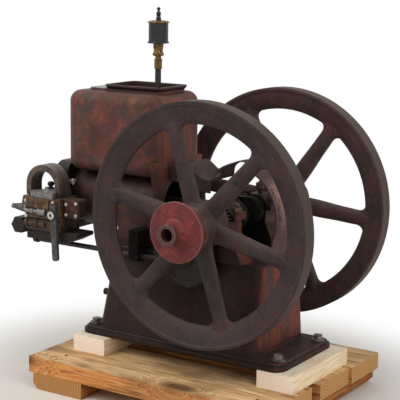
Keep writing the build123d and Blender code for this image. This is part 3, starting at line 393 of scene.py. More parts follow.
    # Edges take the bare colour: partly rubbed wear and partly a painted highlight.
    rounded = node(material, "ShaderNodeBevel", {"Radius": edge_width}, samples=4)
    turn = node(material, "ShaderNodeVectorMath", {0: rounded.outputs[0], 1: facing.outputs["Normal"]},
                operation="DOT_PRODUCT")
    rubbed_and_highlit = node(material, "ShaderNodeMapRange", {
        "Value": turn.outputs["Value"], "From Min": 0.98, "From Max": 0.8, "To Max": edge_wear_and_highlight_share,
    })
    edged = node(material, "ShaderNodeMix", {0: rubbed_and_highlit.outputs[0], 6: chipped.outputs[2], 7: linear(bare_and_edge_highlight)},
                 data_type="RGBA")
    # What faces up takes the dust colour: partly dust and partly painted light from above.
    top_cut = node(material, "ShaderNodeMapRange", {
        "Value": sides.outputs["Z"], "From Min": dust_and_top_light_from, "From Max": dust_and_top_light_to, "To Max": dust_and_top_light_share,
    })
    dusty_and_top_lit = node(material, "ShaderNodeMix", {0: top_cut.outputs[0], 6: edged.outputs[2], 7: linear(dust_and_top_light)},
                 data_type="RGBA")
    # Painted shade: recesses take the grease colour, more where they are deeper.
    recess_shade = node(material, "ShaderNodeAmbientOcclusion", {"Distance": recess_shade_reach}, samples=6)
    recess_shade_amount = node(material, "ShaderNodeMapRange", {
        "Value": recess_shade.outputs["AO"], "From Min": 0.25, "From Max": 0.85,
        "To Min": recess_shade_share, "To Max": 0.0,
    })
    colour = node(material, "ShaderNodeMix", {0: recess_shade_amount.outputs[0], 6: dusty_and_top_lit.outputs[2], 7: linear(grease_and_shade)},
                  data_type="RGBA")
    gloss = node(material, "ShaderNodeMapRange", {
        "Value": runs.outputs[0], "From Min": 0.4, "From Max": 0.7, "To Min": rough, "To Max": rough - 0.18,
    })
    height = node(material, "ShaderNodeMath", {0: grain.outputs[0], 1: patches.outputs[0]}, operation="ADD")
    eased = node(material, "ShaderNodeBevel", {"Radius": soft_edge}, samples=6)
    relief = node(material, "ShaderNodeBump", {
        "Height": height.outputs[0], "Normal": eased.outputs[0], "Strength": 0.55, "Distance": grain_depth})
    surface = node(material, "ShaderNodeBsdfPrincipled", {
        "Base Color": colour.outputs[2], "Roughness": gloss.outputs[0], "Normal": relief.outputs[0],
        "Specular IOR Level": 0.2,
    })
    node(material, "ShaderNodeOutputMaterial", {"Surface": surface.outputs[0]})
    return material


flange_thick = 18 * mm
right_tone_and_light_above = 6 * mm
flange_top_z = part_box("base_casting")[0].z + flange_thick
# Old red oil paint on cast iron: near black, with grease and painted shade on the near face, and orange-red
# streaks at the right that are partly paint and partly painted light.
base_paint = old_casting(
    "greasy red base paint", deep="#271817", mid="#44221d", bright="#7c3e2a", tint="#341d1b",
    bare_and_edge_highlight="#2b2320", grease_and_shade="#1a1413", blotch=80 * mm, patch=30 * mm, rough=0.62, bright_share=0.3,
    bare_share=0.7, edge_wear_and_highlight_share=0.3, right_tone_and_light_share=0.8, right_tone_and_light_from=flange_top_z + right_tone_and_light_above, near_face_shade_share=0.7,
    dust_and_top_light="#2a2321", dust_and_top_light_share=0.7,
)
paint_node("base_casting", base_paint)
paint_node("bearing_caps", base_paint)

# Foot bolts and cap nuts. The flange's bolts stand on pale washers worn bright. Each bearing cap is held by
# two studs, with six-sided nuts on its ears.
cap_nut_radius = 11 * mm
cap_nut_height = 12 * mm
cap_stud_radius = 6 * mm
cap_stud_rise = 9 * mm
cap_ear_rise = 16 * mm
cap_nut_reach = 34 * mm
cap_width = 46 * mm
nut_chamfer_share = 0.18
stud_end_share = 0.4
stud_tip_share = 0.6


def add_nut(shape, place, axis, radius, height, stud_radius, stud_rise):
    """Adds a six-sided nut with chamfered corners and the rounded end of its stud."""
    turn = Vector((0, 0, 1)).rotation_difference(Vector(axis)).to_matrix().to_4x4()
    middle = Matrix.Translation(Vector(place) + Vector(axis) * height / 2) @ turn
    made = bmesh.ops.create_cone(shape, cap_ends=True, segments=6, radius1=radius, radius2=radius,
                                 depth=height, matrix=middle)
    top = [v for v in made["verts"] if (v.co - Vector(place)).dot(Vector(axis)) > height / 2]
    rim = [e for e in shape.edges if e.verts[0] in top and e.verts[1] in top]
    bmesh.ops.bevel(shape, geom=rim, offset=height * nut_chamfer_share, affect="EDGES", segments=2,
                    profile=0.5, material=-1)
    end = height + stud_rise
    outline = [(stud_radius, 0), (stud_radius, end - stud_radius * stud_end_share),
               (stud_radius * stud_tip_share, end), (0, end)]
    turned(shape, outline, Vector(place), axis, 16)


# Steel rubbed by spanners: pale grey patches on brown.
worn_washer = dull_metal(
    "steel worn pale", dark="#4a4038", light="#a3968a", metallic=0.4, rough_low=0.4, rough_high=0.65,
    patch=10 * mm,
)
paint_node("foot_bolts", worn_washer)
caps_low, caps_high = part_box("bearing_caps")
crank_x = (caps_low.x + caps_high.x) / 2
crank_y = (caps_low.y + caps_high.y) / 2
crank_z = caps_low.z
post_middles = (caps_low.y + cap_width / 2, caps_high.y - cap_width / 2)
cap_nuts = bmesh.new()
for post_y in post_middles:
    for way in (-1, 1):
        nut_at = (crank_x + way * cap_nut_reach, post_y, crank_z + cap_ear_rise)
        add_nut(cap_nuts, nut_at, (0, 0, 1), cap_nut_radius, cap_nut_height, cap_stud_radius, cap_stud_rise)
new_piece(cap_nuts, "bearing_cap_nuts", "frame", rusty_steel)

# Cylinder and hopper. One iron casting with a flared mouth. Its red paint has gone brown in patches, with
# orange at the right end, a dark greasy lip, a barrel darkened as painted shade under the hopper, and dust
# on top.
hopper_low, hopper_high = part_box("hopper_casting")
lip_depth = 13 * mm
barrel_shade_from = 130 * mm
barrel_shade_to = 178 * mm
# Faded oil paint: brown-red under a green-grey bloom, and orange where it has worn thin.
hopper_paint = old_casting(
    "dull brown-red hopper paint", deep="#3c2725", mid="#603531", bright="#7f4535", tint="#473d35",
    bare_and_edge_highlight="#3a2e29", grease_and_shade="#211817", blotch=90 * mm, patch=34 * mm, rough=0.6, bright_share=0.55,
    tint_from=0.45, edge_wear_and_highlight_share=0.3, right_tone_and_light_share=0.8, dust_and_top_light="#66503f", dust_and_top_light_share=0.3, low_share=0.62,
    # Painted shade: the barrel under the hopper takes the grease colour from its foot up.
    low_from=hopper_low.z + barrel_shade_from, low_to=hopper_low.z + barrel_shade_to, high_share=0.8,
    high_from=hopper_high.z - lip_depth,
)
paint_node("hopper_casting", hopper_paint)

# Cover plate. A thin zinc-coated steel plate, dull and pale. It is cut from sheet with its edges filed round,
# and lies on the pad beside the hopper's mouth.
plate_size = (48 * mm, 106 * mm, 3 * mm)
plate_x = -362 * mm
plate_z = 260 * mm
plate_round = 0.8 * mm


def add_bar(shape, size, place, turn, round_edge):
    """Adds a bar with rounded edges, turned about the crankshaft's way."""
    made = bmesh.ops.create_cube(shape, size=1, matrix=(
        Matrix.Translation(place) @ Matrix.Rotation(turn, 4, "Y") @ Matrix.Diagonal((*size, 1))))
    bmesh.ops.bevel(shape, geom=list({e for v in made["verts"] for e in v.link_edges}), offset=round_edge,
                    affect="EDGES", segments=3, profile=0.5, material=-1)


# Zinc coat: pale grey, with cloudy patches and a soft sheen.
dull_zinc = dull_metal(
    "dull zinc-coated sheet", dark="#8f928b", light="#b9bbb4", metallic=0.2, rough_low=0.45,
    rough_high=0.65, patch=18 * mm,
)
cover_plate = bmesh.new()
add_bar(cover_plate, plate_size, (crank_x + plate_x, crank_y, crank_z + plate_z), 0, plate_round)
new_piece(cover_plate, "hopper_cover_plate", "frame", dull_zinc)

# Cylinder head, rocker and connecting rod. Cast and forged iron, bare and black with oil. The head is held to
# the barrel by six studs with nuts on its face.
head_nut_radius = 12 * mm
head_nut_height = 11 * mm
head_stud_radius = 6 * mm
head_stud_rise = 8 * mm
head_nut_side = 66 * mm
head_nut_rise = 62 * mm
head_face_inset = 8 * mm
# Bare iron under oil: almost black, with a low gloss.
dark_iron = old_casting(
    "greasy bare iron", deep="#1b1716", mid="#2a2220", bright="#3e2d25", tint="#241e1c", bare_and_edge_highlight="#312824",
    grease_and_shade="#141110", blotch=60 * mm, patch=24 * mm, rough=0.6, bright_share=0.3,
)
for name in ("cylinder_head", "rocker_arm", "magneto_bracket", "connecting_rod", "rod_cap"):
    paint_node(name, dark_iron)
# Machined steel under oil: mid grey, with a bright sheen.
oiled_steel = dull_metal(
    "oiled bright steel", dark="#55504b", light="#8f8880", metallic=0.75, rough_low=0.3, rough_high=0.55,
    patch=12 * mm,
)
paint_node("piston", oiled_steel)
head_face_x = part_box("cylinder_head")[0].x + head_face_inset
head_nuts = bmesh.new()
for side_share in (-1, 1):
    for rise_share in (-1, 0, 1):
        nut_at = (head_face_x, crank_y + side_share * head_nut_side, crank_z + rise_share * head_nut_rise)
        add_nut(head_nuts, nut_at, (-1, 0, 0), head_nut_radius, head_nut_height, head_stud_radius,
                head_stud_rise)
new_piece(head_nuts, "head_nuts", "frame", rusty_steel)

# Valves. Two turned steel stems stand out of the head. Each is drawn shut by a coil spring of round wire
# under a cupped washer.
valve_side = 22 * mm
valve_stem_radius = 5 * mm
valve_stem_length = 33 * mm
valve_washer_radius = 14 * mm
valve_washer_thick = 3 * mm
coil_radius = 11.5 * mm
wire_radius = 1.6 * mm
coil_turns = 5
coil_steps = 20 * coil_turns
coil_length = 22 * mm
washer_cup = 1 * mm
valves_right_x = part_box("valves")[1].x
washer_at = coil_length - valve_washer_thick
stem_outline = [(0, 0), (valve_stem_radius, 0), (valve_stem_radius, washer_at),
                (valve_washer_radius, washer_at), (valve_washer_radius, coil_length),
                (valve_stem_radius, coil_length + washer_cup), (valve_stem_radius, valve_stem_length),
                (0, valve_stem_length)]
valve_gear = bmesh.new()
for way in (-1, 1):
    stem_at = Vector((valves_right_x, crank_y + way * valve_side, crank_z + way * valve_side))
    wire_at = stem_at + Vector((-2 * wire_radius, 0, coil_radius))
    wire = bmesh.ops.create_circle(valve_gear, segments=8, radius=wire_radius, matrix=(
        Matrix.Translation(wire_at) @ Matrix.Rotation(math.radians(90), 4, "X")))
    wire_edges = list({e for v in wire["verts"] for e in v.link_edges})
    bmesh.ops.spin(valve_gear, geom=wire["verts"] + wire_edges, cent=stem_at, axis=(1, 0, 0),
                   angle=2 * math.pi * coil_turns, steps=coil_steps,
                   dvec=Vector((-(coil_length - 5 * wire_radius) / coil_steps, 0, 0)))
    turned(valve_gear, stem_outline, stem_at, (-1, 0, 0), 20)
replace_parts(new_piece(valve_gear, "valve_springs", "frame", oiled_steel), "valves")

# Priming cock. A small turned cock, nickel-plated, with a flat lever. It is screwed into the barrel behind
# the magneto.
cock_x = -424 * mm
cock_rise = 36 * mm
cock_seat = 64 * mm
cock_outline = [(r * mm, d * mm) for r, d in (
    (0, 0), (5, 0), (5, 8), (7, 9), (7, 13), (4, 15), (4, 22), (6, 23), (6, 29), (4, 31), (0, 31))]
cock_lever_size = (24 * mm, 4 * mm, 6 * mm)
cock_lever_place = Vector((6 * mm, -26 * mm, 2 * mm))
cock_lever_lean = math.radians(28)
cock_lever_round = 1.2 * mm
# Nickel plate: nearly white, with the sharpest shine on the engine.
nickel = dull_metal(
    "bright nickel plate", dark="#8f8b82", light="#cfcac0", metallic=0.3, rough_low=0.25, rough_high=0.45,
    patch=8 * mm,
)
cock = bmesh.new()
cock_at = Vector((crank_x + cock_x, crank_y - cock_seat, crank_z + cock_rise))
turned(cock, cock_outline, cock_at, (0, -1, 0), 20)
add_bar(cock, cock_lever_size, cock_at + cock_lever_place, cock_lever_lean, cock_lever_round)
new_piece(cock, "priming_cock", "frame", nickel)

# Crank guard. One sheet of iron, bent in a wave from the hopper and an arch over the crank to the pedestal.
# It is brown with age, with a painted pink highlight where the arch faces right and painted shade lower down.
guard_shade_band = 30 * mm
guard_highlight_from = 70 * mm
guard_highlight_fade = 20 * mm
# Old sheet iron: dull brown, with a painted pink highlight on the outside of the arch and painted shade lower
# down.
guard_iron = old_casting(
    "brown sheet iron", deep="#2e2525", mid="#463a38", bright="#a07b73", tint="#3d3333", bare_and_edge_highlight="#6a5751",
    grease_and_shade="#272020", blotch=70 * mm, patch=20 * mm, rough=0.8, bright_share=0.1, bare_share=0.3,
    right_tone_and_light_share=0.9, right_tone_and_light_lean=0.1, right_tone_and_light_axis="X", right_tone_and_light_from=crank_x + guard_highlight_from,
    line_soft=guard_highlight_fade, low_share=0.7, low_from=crank_z - guard_shade_band,
    low_to=crank_z + 2 * guard_shade_band, dust_and_top_light="#5d4d48", dust_and_top_light_share=0.4,
)
paint_node("crank_guard", guard_iron)

# Drip oiler. A black bowl under a brass lid stands on a turned brass sight body and a thin pipe. A snap
# lever on top shuts it off, with a wire handle.
# Tarnished brass: brown in its hollows, and gold where it is handled.
old_brass = dull_metal(
    "tarnished brass", dark="#3d301a", light="#8d6d36", metallic=0.6, rough_low=0.32, rough_high=0.6,
    patch=7 * mm,
)
# Stoved enamel: black, with a smooth sheen.
black_enamel = dull_metal(
    "worn black enamel", dark="#141416", light="#2a2a2e", metallic=0.0, rough_low=0.25, rough_high=0.45,
    patch=14 * mm,
)
# Oiled pipe: dark grey-brown, and half dull.
pipe_iron = dull_metal(
    "oiled dark pipe", dark="#231f1f", light="#3d3536", metallic=0.2, rough_low=0.4, rough_high=0.6,
    patch=14 * mm,
)
paint_node("oiler_pipe", pipe_iron)
bowl_low, bowl_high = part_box("oiler_bowl")
neck_low, neck_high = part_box("oiler_neck")
knob_low, knob_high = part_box("oiler_knob")
oiler_x = (bowl_low.x + bowl_high.x) / 2
oiler_y = (bowl_low.y + bowl_high.y) / 2
bowl_radius = (bowl_high.x - bowl_low.x) / 2
bowl_height = bowl_high.z - bowl_low.z
bowl_shares = ((0, 0), (0.84, 0), (0.98, 0.01), (1, 0.04), (0.98, 0.07), (0.9, 0.1), (0.9, 0.88), (0, 0.88))
lid_shares = ((0, 0.88), (0.92, 0.88), (0.98, 0.9), (1, 0.93), (0.98, 0.95), (0.9, 0.965), (0.55, 1), (0, 1))
bowl = bmesh.new()
turned(bowl, [(r * bowl_radius, h * bowl_height) for r, h in bowl_shares], (oiler_x, oiler_y, bowl_low.z),
       (0, 0, 1), 40)
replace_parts(new_piece(bowl, "oiler_bowl_turned", "frame", black_enamel), "oiler_bowl")
lid = bmesh.new()
turned(lid, [(r * bowl_radius, h * bowl_height) for r, h in lid_shares], (oiler_x, oiler_y, bowl_low.z),
       (0, 0, 1), 40)
new_piece(lid, "oiler_lid", "frame", old_brass)
neck_height = neck_high.z - neck_low.z
neck_outline = [(r * mm, h * neck_height) for r, h in (
    (0, 0), (8.6, 0), (9, 0.02), (9, 0.3), (8.2, 0.32), (9.4, 0.34), (9.4, 0.38), (7, 0.4), (6.6, 0.49),
    (12.4, 0.52), (13, 0.54), (13, 0.6), (12, 0.62), (10.6, 0.66), (10.4, 0.74), (11.4, 0.8), (11.8, 0.86),
    (11.8, 1), (0, 1))]
neck = bmesh.new()
turned(neck, neck_outline, (oiler_x, oiler_y, neck_low.z), (0, 0, 1), 32)
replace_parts(new_piece(neck, "oiler_sight_body", "frame", old_brass), "oiler_neck")
knob_height = knob_high.z - knob_low.z
knob_outline = [(r * mm, h * knob_height) for r, h in (
    (0, 0), (6, 0), (6, 0.2), (4.6, 0.26), (4, 0.34), (5.4, 0.42), (5.6, 0.56), (4, 0.66), (2.4, 0.7),
    (2.6, 0.76), (4, 0.82), (4.4, 0.9), (3.4, 0.97), (0, 1))]
handle_radius = 0.8 * mm
handle_reach = 5 * mm
handle_rise = 11 * mm
snap = bmesh.new()
turned(snap, knob_outline, (oiler_x, oiler_y, knob_low.z), (0, 0, 1), 20)
handle_middle = Vector((oiler_x, oiler_y, knob_low.z + handle_rise))
wire = bmesh.ops.create_circle(snap, segments=8, radius=handle_radius, matrix=Matrix.Translation(
    handle_middle + Vector((handle_reach, 0, 0))))
bmesh.ops.spin(snap, geom=wire["verts"] + list({e for v in wire["verts"] for e in v.link_edges}),
               cent=handle_middle, axis=(0, 1, 0), angle=math.pi, steps=20)
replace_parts(new_piece(snap, "oiler_snap_lever", "frame", black_enamel), "oiler_knob")

# Magneto. A cast body under two horseshoe magnets, rusty ochre-brown, with a darker box on its right, a grey
# top plate and a hanging steel trip lever.
body_low, body_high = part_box("magneto_body")
# Rust over old primer: ochre-brown, and darker towards the foot.
rusty_ochre = old_casting(
    "rusty ochre castings", deep="#33261d", mid="#5f4630", bright="#8f6b3a", tint="#46332a", bare_and_edge_highlight="#3f342c",
    grease_and_shade="#2c211b", blotch=26 * mm, patch=11 * mm, rough=0.55, bright_share=0.45, bare_share=0.8,
    low_share=0.65, low_from=body_low.z, low_to=(body_low.z + 2 * body_high.z) / 3,
)
# Plain rust: dark brown and matt.
rusty_brown = old_casting(
    "rusty brown castings", deep="#2b1f1a", mid="#4a3025", bright="#6b4731", tint="#332824", bare_and_edge_highlight="#3f342c",
    grease_and_shade="#1d1715", blotch=24 * mm, patch=10 * mm, rough=0.55, bright_share=0.45, bare_share=0.7,
)
# Magnet steel: warm brown-grey, paler on its crown as painted light from above.
rusty_magnet = old_casting(
    "rust-brown magnet steel", deep="#42342f", mid="#5b4b44", bright="#7b6a60", tint="#54463c",
    bare_and_edge_highlight="#6d6058", grease_and_shade="#2a2320", blotch=34 * mm, patch=18 * mm, rough=0.5, bare_share=0.5,
    dust_and_top_light="#8a7f7a", dust_and_top_light_share=0.55,
)
# Handled bare steel: mid grey in patches.
worn_grey = dull_metal(
    "worn grey steel", dark="#55504d", light="#8a8581", metallic=0.3, rough_low=0.35, rough_high=0.6,
    patch=9 * mm,
)
# Forged steel under oil: dark grey.
lever_grey = dull_metal(
    "oiled grey forging", dark="#343231", light="#54524f", metallic=0.2, rough_low=0.35, rough_high=0.6,
    patch=12 * mm,
)
paint_node("magneto_body", rusty_ochre)
paint_node("magneto_side_block", rusty_brown)
paint_node("magnets", rusty_magnet)
paint_node("top_plate", worn_grey)
paint_node("spring_barrel", worn_grey)
paint_node("trip_lever", lever_grey)
paint_node("roller", dark_iron)
paint_node("terminals", black_enamel)

# Magneto bolts. Small six-sided steel screws, nickel-plated and still bright. They stand at the corners of
# the body and of the box beside it.
body_bolt_radius = 5.5 * mm
box_bolt_radius = 4.5 * mm
bolt_height = 3.5 * mm
bolt_stud_rise = 1 * mm
shaft_run = 18 * mm
body_bolt_shares = ((0.07, 0.86), (0.84, 0.88), (0.07, 0.4))
box_bolt_shares = ((0.2, 0.75), (0.85, 0.85), (0.85, 0.2), (0.2, 0.2))
box_low, box_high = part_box("magneto_side_block")
body_front_y = body_low.y + shaft_run
body_bolts = bmesh.new()
for low, high, front_y, radius, shares in (
    (body_low, body_high, body_front_y, body_bolt_radius, body_bolt_shares),
    (box_low, box_high, box_low.y, box_bolt_radius, box_bolt_shares),
):
    for run, rise in shares:
        bolt_at = (low.x + run * (high.x - low.x), front_y, low.z + rise * (high.z - low.z))
        add_nut(body_bolts, bolt_at, (0, -1, 0), radius, bolt_height, radius / 2, bolt_stud_rise)
new_piece(body_bolts, "magneto_bolts", "frame", nickel)

# Shaft end. A turned ring, plated bright, closes the end of the trip lever's shaft. The square socket in its
# middle is dark with old oil.
ring_radius = 9.5 * mm
ring_thick = 2 * mm
ring_edge_share = 0.7
ring_face_share = 0.85
socket_out_share = 0.6
socket_half = 4.5 * mm
socket_round = 0.4 * mm
shaft_setback = 10 * mm
shaft_drop = 34 * mm
pivot_x = body_high.x - shaft_setback
pivot_z = body_high.z - shaft_drop
ring_outline = [(0, 0), (ring_radius, 0), (ring_radius, ring_thick * ring_edge_share),
                (ring_radius * ring_face_share, ring_thick), (0, ring_thick)]
shaft_ring = bmesh.new()
turned(shaft_ring, ring_outline, (pivot_x, body_low.y, pivot_z), (0, -1, 0), 32)
new_piece(shaft_ring, "shaft_ring", "frame", nickel)
socket = bmesh.new()
socket_at = Matrix.Translation((pivot_x, body_low.y - ring_thick * socket_out_share, pivot_z))
bmesh.ops.create_cone(socket, cap_ends=True, segments=4, radius1=socket_half, radius2=socket_half,
                      depth=ring_thick, matrix=socket_at @ Matrix.Rotation(math.radians(90), 4, "X"))
bmesh.ops.bevel(socket, geom=socket.edges[:], offset=socket_round, affect="EDGES", segments=2, profile=0.5,
                material=-1)
new_piece(socket, "shaft_socket", "frame", black_enamel)

# Front of the magneto. A bevelled cover is screwed to the body's upper half, a steel sleeve on a stepped rod
# lies along the groove below it, and a rusty rod with two collars runs along the body's foot.
cover_size = (70 * mm, 4 * mm, 24 * mm)
cover_left = 42 * mm
cover_drop = 14 * mm
cover_rise = 1.5 * mm
cover_round = 1.6 * mm
rod_left = 4 * mm
rod_outline = [(r * mm, d * mm) for r, d in (
    (0, 0), (5, 0), (5, 18), (7, 19), (7, 26), (5, 27), (5, 38), (8.5, 39), (8.5, 59), (7, 62), (0, 62))]
foot_rod_rise = 15 * mm
foot_rod_outline = [(r * mm, d * mm) for r, d in (
    (0, 0), (8, 0), (8, 9), (5.5, 10), (5.5, 30), (8.5, 31), (8.5, 38), (5.5, 39), (5.5, 60), (0, 60))]
cover = bmesh.new()
cover_at = (body_low.x + cover_left, body_front_y - cover_rise, body_high.z - cover_drop)
add_bar(cover, cover_size, cover_at, 0, cover_round)
new_piece(cover, "magneto_front_cover", "frame", rusty_ochre)
trip_rod = bmesh.new()
turned(trip_rod, rod_outline, (body_low.x + rod_left, body_front_y, pivot_z), (1, 0, 0), 24)
new_piece(trip_rod, "trip_rod", "frame", worn_grey)
foot_rod = bmesh.new()
foot_rod_at = (body_low.x + rod_left, body_front_y, body_low.z + foot_rod_rise)
turned(foot_rod, foot_rod_outline, foot_rod_at, (1, 0, 0), 24)
new_piece(foot_rod, "foot_rod", "frame", rusty_brown)

# Spring housing. A tapered steel sleeve with ribs for the coils inside it, screwed into the body's left end.
# A dark iron arm stands behind it.
spring_low, spring_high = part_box("spring_barrel")
spring_middle = (spring_low + spring_high) / 2
spring_run = spring_high.x - spring_low.x
spring_radius = (spring_high.z - spring_low.z) / 2
spring_ribs = 9
rib_from_share = 0.22
rib_to_share = 0.8
rib_first_share = 0.96
rib_taper_share = 0.42
rib_rise_share = 0.015
rib_width_share = 0.045
rib_depth = 1.4 * mm
housing_shares = [(0, 0), (1, 0), (1, 0.2)]
for rib in range(spring_ribs):
    rib_share = rib / (spring_ribs - 1)
    rib_radius = rib_first_share - rib_taper_share * rib_share
    rib_at = rib_from_share + (rib_to_share - rib_from_share) * rib_share
    housing_shares += [(rib_radius - rib_depth / spring_radius, rib_at),
                       (rib_radius, rib_at + rib_rise_share), (rib_radius, rib_at + rib_width_share)]
housing_shares += [(0.42, 0.86), (0.5, 0.88), (0.5, 0.97), (0.33, 1), (0, 1)]
housing = bmesh.new()
turned(housing, [(r * spring_radius, d * spring_run) for r, d in housing_shares],
       (spring_high.x, spring_middle.y, spring_middle.z), (-1, 0, 0), 28)
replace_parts(new_piece(housing, "ribbed_spring_housing", "frame", worn_grey), "spring_barrel")
arm_size = (44 * mm, 16 * mm, 22 * mm)
arm_behind = 24 * mm
arm_above = 10 * mm
arm_bite = 4 * mm
arm_lean = math.radians(14)
arm_round = 4 * mm
spring_arm = bmesh.new()
arm_at = (body_low.x - arm_size[0] / 2 + arm_bite, spring_middle.y + arm_behind, spring_middle.z + arm_above)
add_bar(spring_arm, arm_size, arm_at, arm_lean, arm_round)
new_piece(spring_arm, "spring_arm", "frame", rusty_brown)

# Terminals. Two moulded black knobs stand on round feet behind the top plate. They are screwed down by hand
# over the wires.
terminals_low, terminals_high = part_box("terminals")
terminal_radius = (terminals_high.y - terminals_low.y) / 2
terminal_height = terminals_high.z - terminals_low.z
post_outline = [(r * terminal_radius, h * terminal_height) for r, h in (
    (0, 0), (1, 0), (1, 0.1), (0.5, 0.16), (0.5, 0.3), (0.9, 0.36), (1, 0.5), (1, 0.75), (0.8, 0.92),
    (0.4, 1), (0, 1))]
posts = bmesh.new()
for post_x in (terminals_low.x + terminal_radius, terminals_high.x - terminal_radius):
    turned(posts, post_outline, (post_x, terminals_low.y + terminal_radius, terminals_low.z), (0, 0, 1), 24)
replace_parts(new_piece(posts, "terminal_posts", "frame", black_enamel), "terminals")

# Push rod and cam stud. Both are drawn round steel. The rod slides in its guide and is dark with oil, and
# the stud is pressed into an arm of the base and worn bright.
paint_node("push_rod", pipe_iron)
paint_node("cam_stud", oiled_steel)

# Grease cups. Turned brass cups with a cap that is screwed down to feed grease. One is screwed into each
# bearing cap, and they have gone dull green-brown.
cup_outline = [(r * mm, h * mm) for r, h in (
    (0, 0), (5, 0), (5, 8), (9, 9), (10, 10), (10, 22), (9, 24), (4, 25), (4, 28), (0, 28))]
# Old brass under grease: dull green-brown.
green_brass = dull_metal(
    "dull green-brown brass", dark="#2f2a1d", light="#5c5136", metallic=0.3, rough_low=0.4, rough_high=0.65,
    patch=8 * mm,
)
cups = bmesh.new()
for post_y in post_middles:
    turned(cups, cup_outline, (crank_x, post_y, caps_high.z), (0, 0, 1), 28)
new_piece(cups, "grease_cups", "frame", green_brass)

# Crankshaft. One steel forging, turned on its journals and crank pin. It is black with grease. The push
# rod's guide beside it is just as black, partly as painted shade.
# Thick old grease: black, with no shine. The same black is painted shade on the push rod's guide and in the
# spoke's hole.
black_grease_and_shade = dull_metal(
    "greasy dark steel and painted shade", dark="#110f0e", light="#231e1c", metallic=0.0, rough_low=0.6, rough_high=0.8,
    patch=16 * mm, shine=0.1,
)
paint_node("crankshaft", black_grease_and_shade)
paint_node("push_rod_guide", black_grease_and_shade)

# Timing gears. Two iron gears with cut teeth, the small one keyed to the crankshaft and the large one running
# on the cam stud.
# Cut iron under oil: black between the teeth, partly oil and partly painted shade, and browner on the faces.
gear_iron = old_casting(
    "oiled gear iron", deep="#1f1b19", mid="#2e2825", bright="#443a34", tint="#29231f", bare_and_edge_highlight="#4a423c",
    grease_and_shade="#120f0e", blotch=30 * mm, patch=14 * mm, rough=0.5,
)
paint_node("crank_gear", gear_iron)
paint_node("cam_gear", gear_iron)

# Flywheels. Two grey iron castings, keyed to the ends of the crankshaft. Their paint is gone, and a dry bloom
# of rust is paler on the treads and edges, partly rubbed wear and partly painted light.
# Dry rust bloom: dark purple-brown, tan on what faces up or to the right, partly dust and partly painted
# light.
wheel_iron = old_casting(
    "brown-patina wheel iron", deep="#2a2222", mid="#3b302f", bright="#503f36", tint="#412a29",
    bare_and_edge_highlight="#6a594d", grease_and_shade="#1e1818", blotch=70 * mm, patch=9 * mm, rough=0.66, bright_share=0.3,
    edge_wear_and_highlight_share=0.5, right_tone_and_light_share=0.6, right_tone_and_light_lean=0.5, dust_and_top_light="#5f4d43", dust_and_top_light_share=0.4, dust_and_top_light_from=0.2, dust_and_top_light_to=0.9,
    recess_shade_share=0.4, soft_edge=7 * mm,
)
# The same bloom, redder in patches.
far_wheel_iron = old_casting(
    "red-brown wheel iron", deep="#302627", mid="#452f30", bright="#57473a", tint="#4a2d2b", bare_and_edge_highlight="#4c3e39",
    grease_and_shade="#261e1f", blotch=70 * mm, patch=12 * mm, rough=0.66, bright_share=0.2, right_tone_and_light_share=0.6,
    right_tone_and_light_lean=0.3, dust_and_top_light="#5f5043", dust_and_top_light_share=0.45, recess_shade_share=0.5, soft_edge=7 * mm,
)
paint_node("flywheel_near", wheel_iron)
paint_node("flywheel_far", far_wheel_iron)

# Spoke fillets. Each spoke is cast in one with its rim, so its root runs into the rim with a hollow curve on
# both sides. The curve is widest on the wheel's middle plane, and dies out on the spoke's front and back.
fillet_radius = 15 * mm
fillet_end_radius = 1.5 * mm
fillet_sink = 3 * mm
fillet_levels = 13
fillet_points = 11
rim_inner_radius = 216.7 * mm
rim_inner_half = 4.5 * mm
rim_slope = 2.4
spoke_half_width = 17.8 * mm
spoke_half_depth = 10 * mm
level_reach_share = 0.93
spoke_count = 6
near_wheel_turn = math.radians(47)
far_wheel_turn = math.radians(55)


def add_fillet(shape, middle, angle, way):
    """Adds the hollow curve between one side of a spoke and the rim, as rings stacked along the shaft."""
    along = Vector((math.cos(angle), 0, math.sin(angle)))
    across = Vector((-math.sin(angle), 0, math.cos(angle))) * way
    rings = []
    for level in range(fillet_levels):
        depth_share = level_reach_share * (2 * level / (fillet_levels - 1) - 1)
        depth = depth_share * spoke_half_depth
        side = spoke_half_width * math.sqrt(1 - depth_share ** 2)
        radius = fillet_end_radius + (fillet_radius - fillet_end_radius) * (1 - depth_share ** 2)
        rim = rim_inner_radius + rim_slope * max(abs(depth) - rim_inner_half, 0)
        middle_side = side + radius
        middle_reach = math.sqrt((rim - radius) ** 2 - middle_side ** 2)
        last_turn = math.atan2(middle_side, middle_reach)
        flat = []
        for point in range(fillet_points):
            turn = (last_turn + math.pi / 2) * point / (fillet_points - 1) - math.pi / 2
            flat.append((middle_reach + radius * math.cos(turn), middle_side + radius * math.sin(turn)))
        sunk_rim = rim + fillet_sink
        flat.append((sunk_rim * math.cos(last_turn), sunk_rim * math.sin(last_turn)))
        flat.append((sunk_rim, side - fillet_sink))
        flat.append((middle_reach, side - fillet_sink))
        place = middle + Vector((0, depth, 0))
        ring = [shape.verts.new(place + along * reach + across * off) for reach, off in flat]
        rings.append([shape.edges.new(pair) for pair in zip(ring, ring[1:] + ring[:1])])
    for lower, upper in zip(rings, rings[1:]):
        bmesh.ops.bridge_loops(shape, edges=lower + upper)
    bmesh.ops.edgeloop_fill(shape, edges=rings[0])
    bmesh.ops.edgeloop_fill(shape, edges=rings[-1])


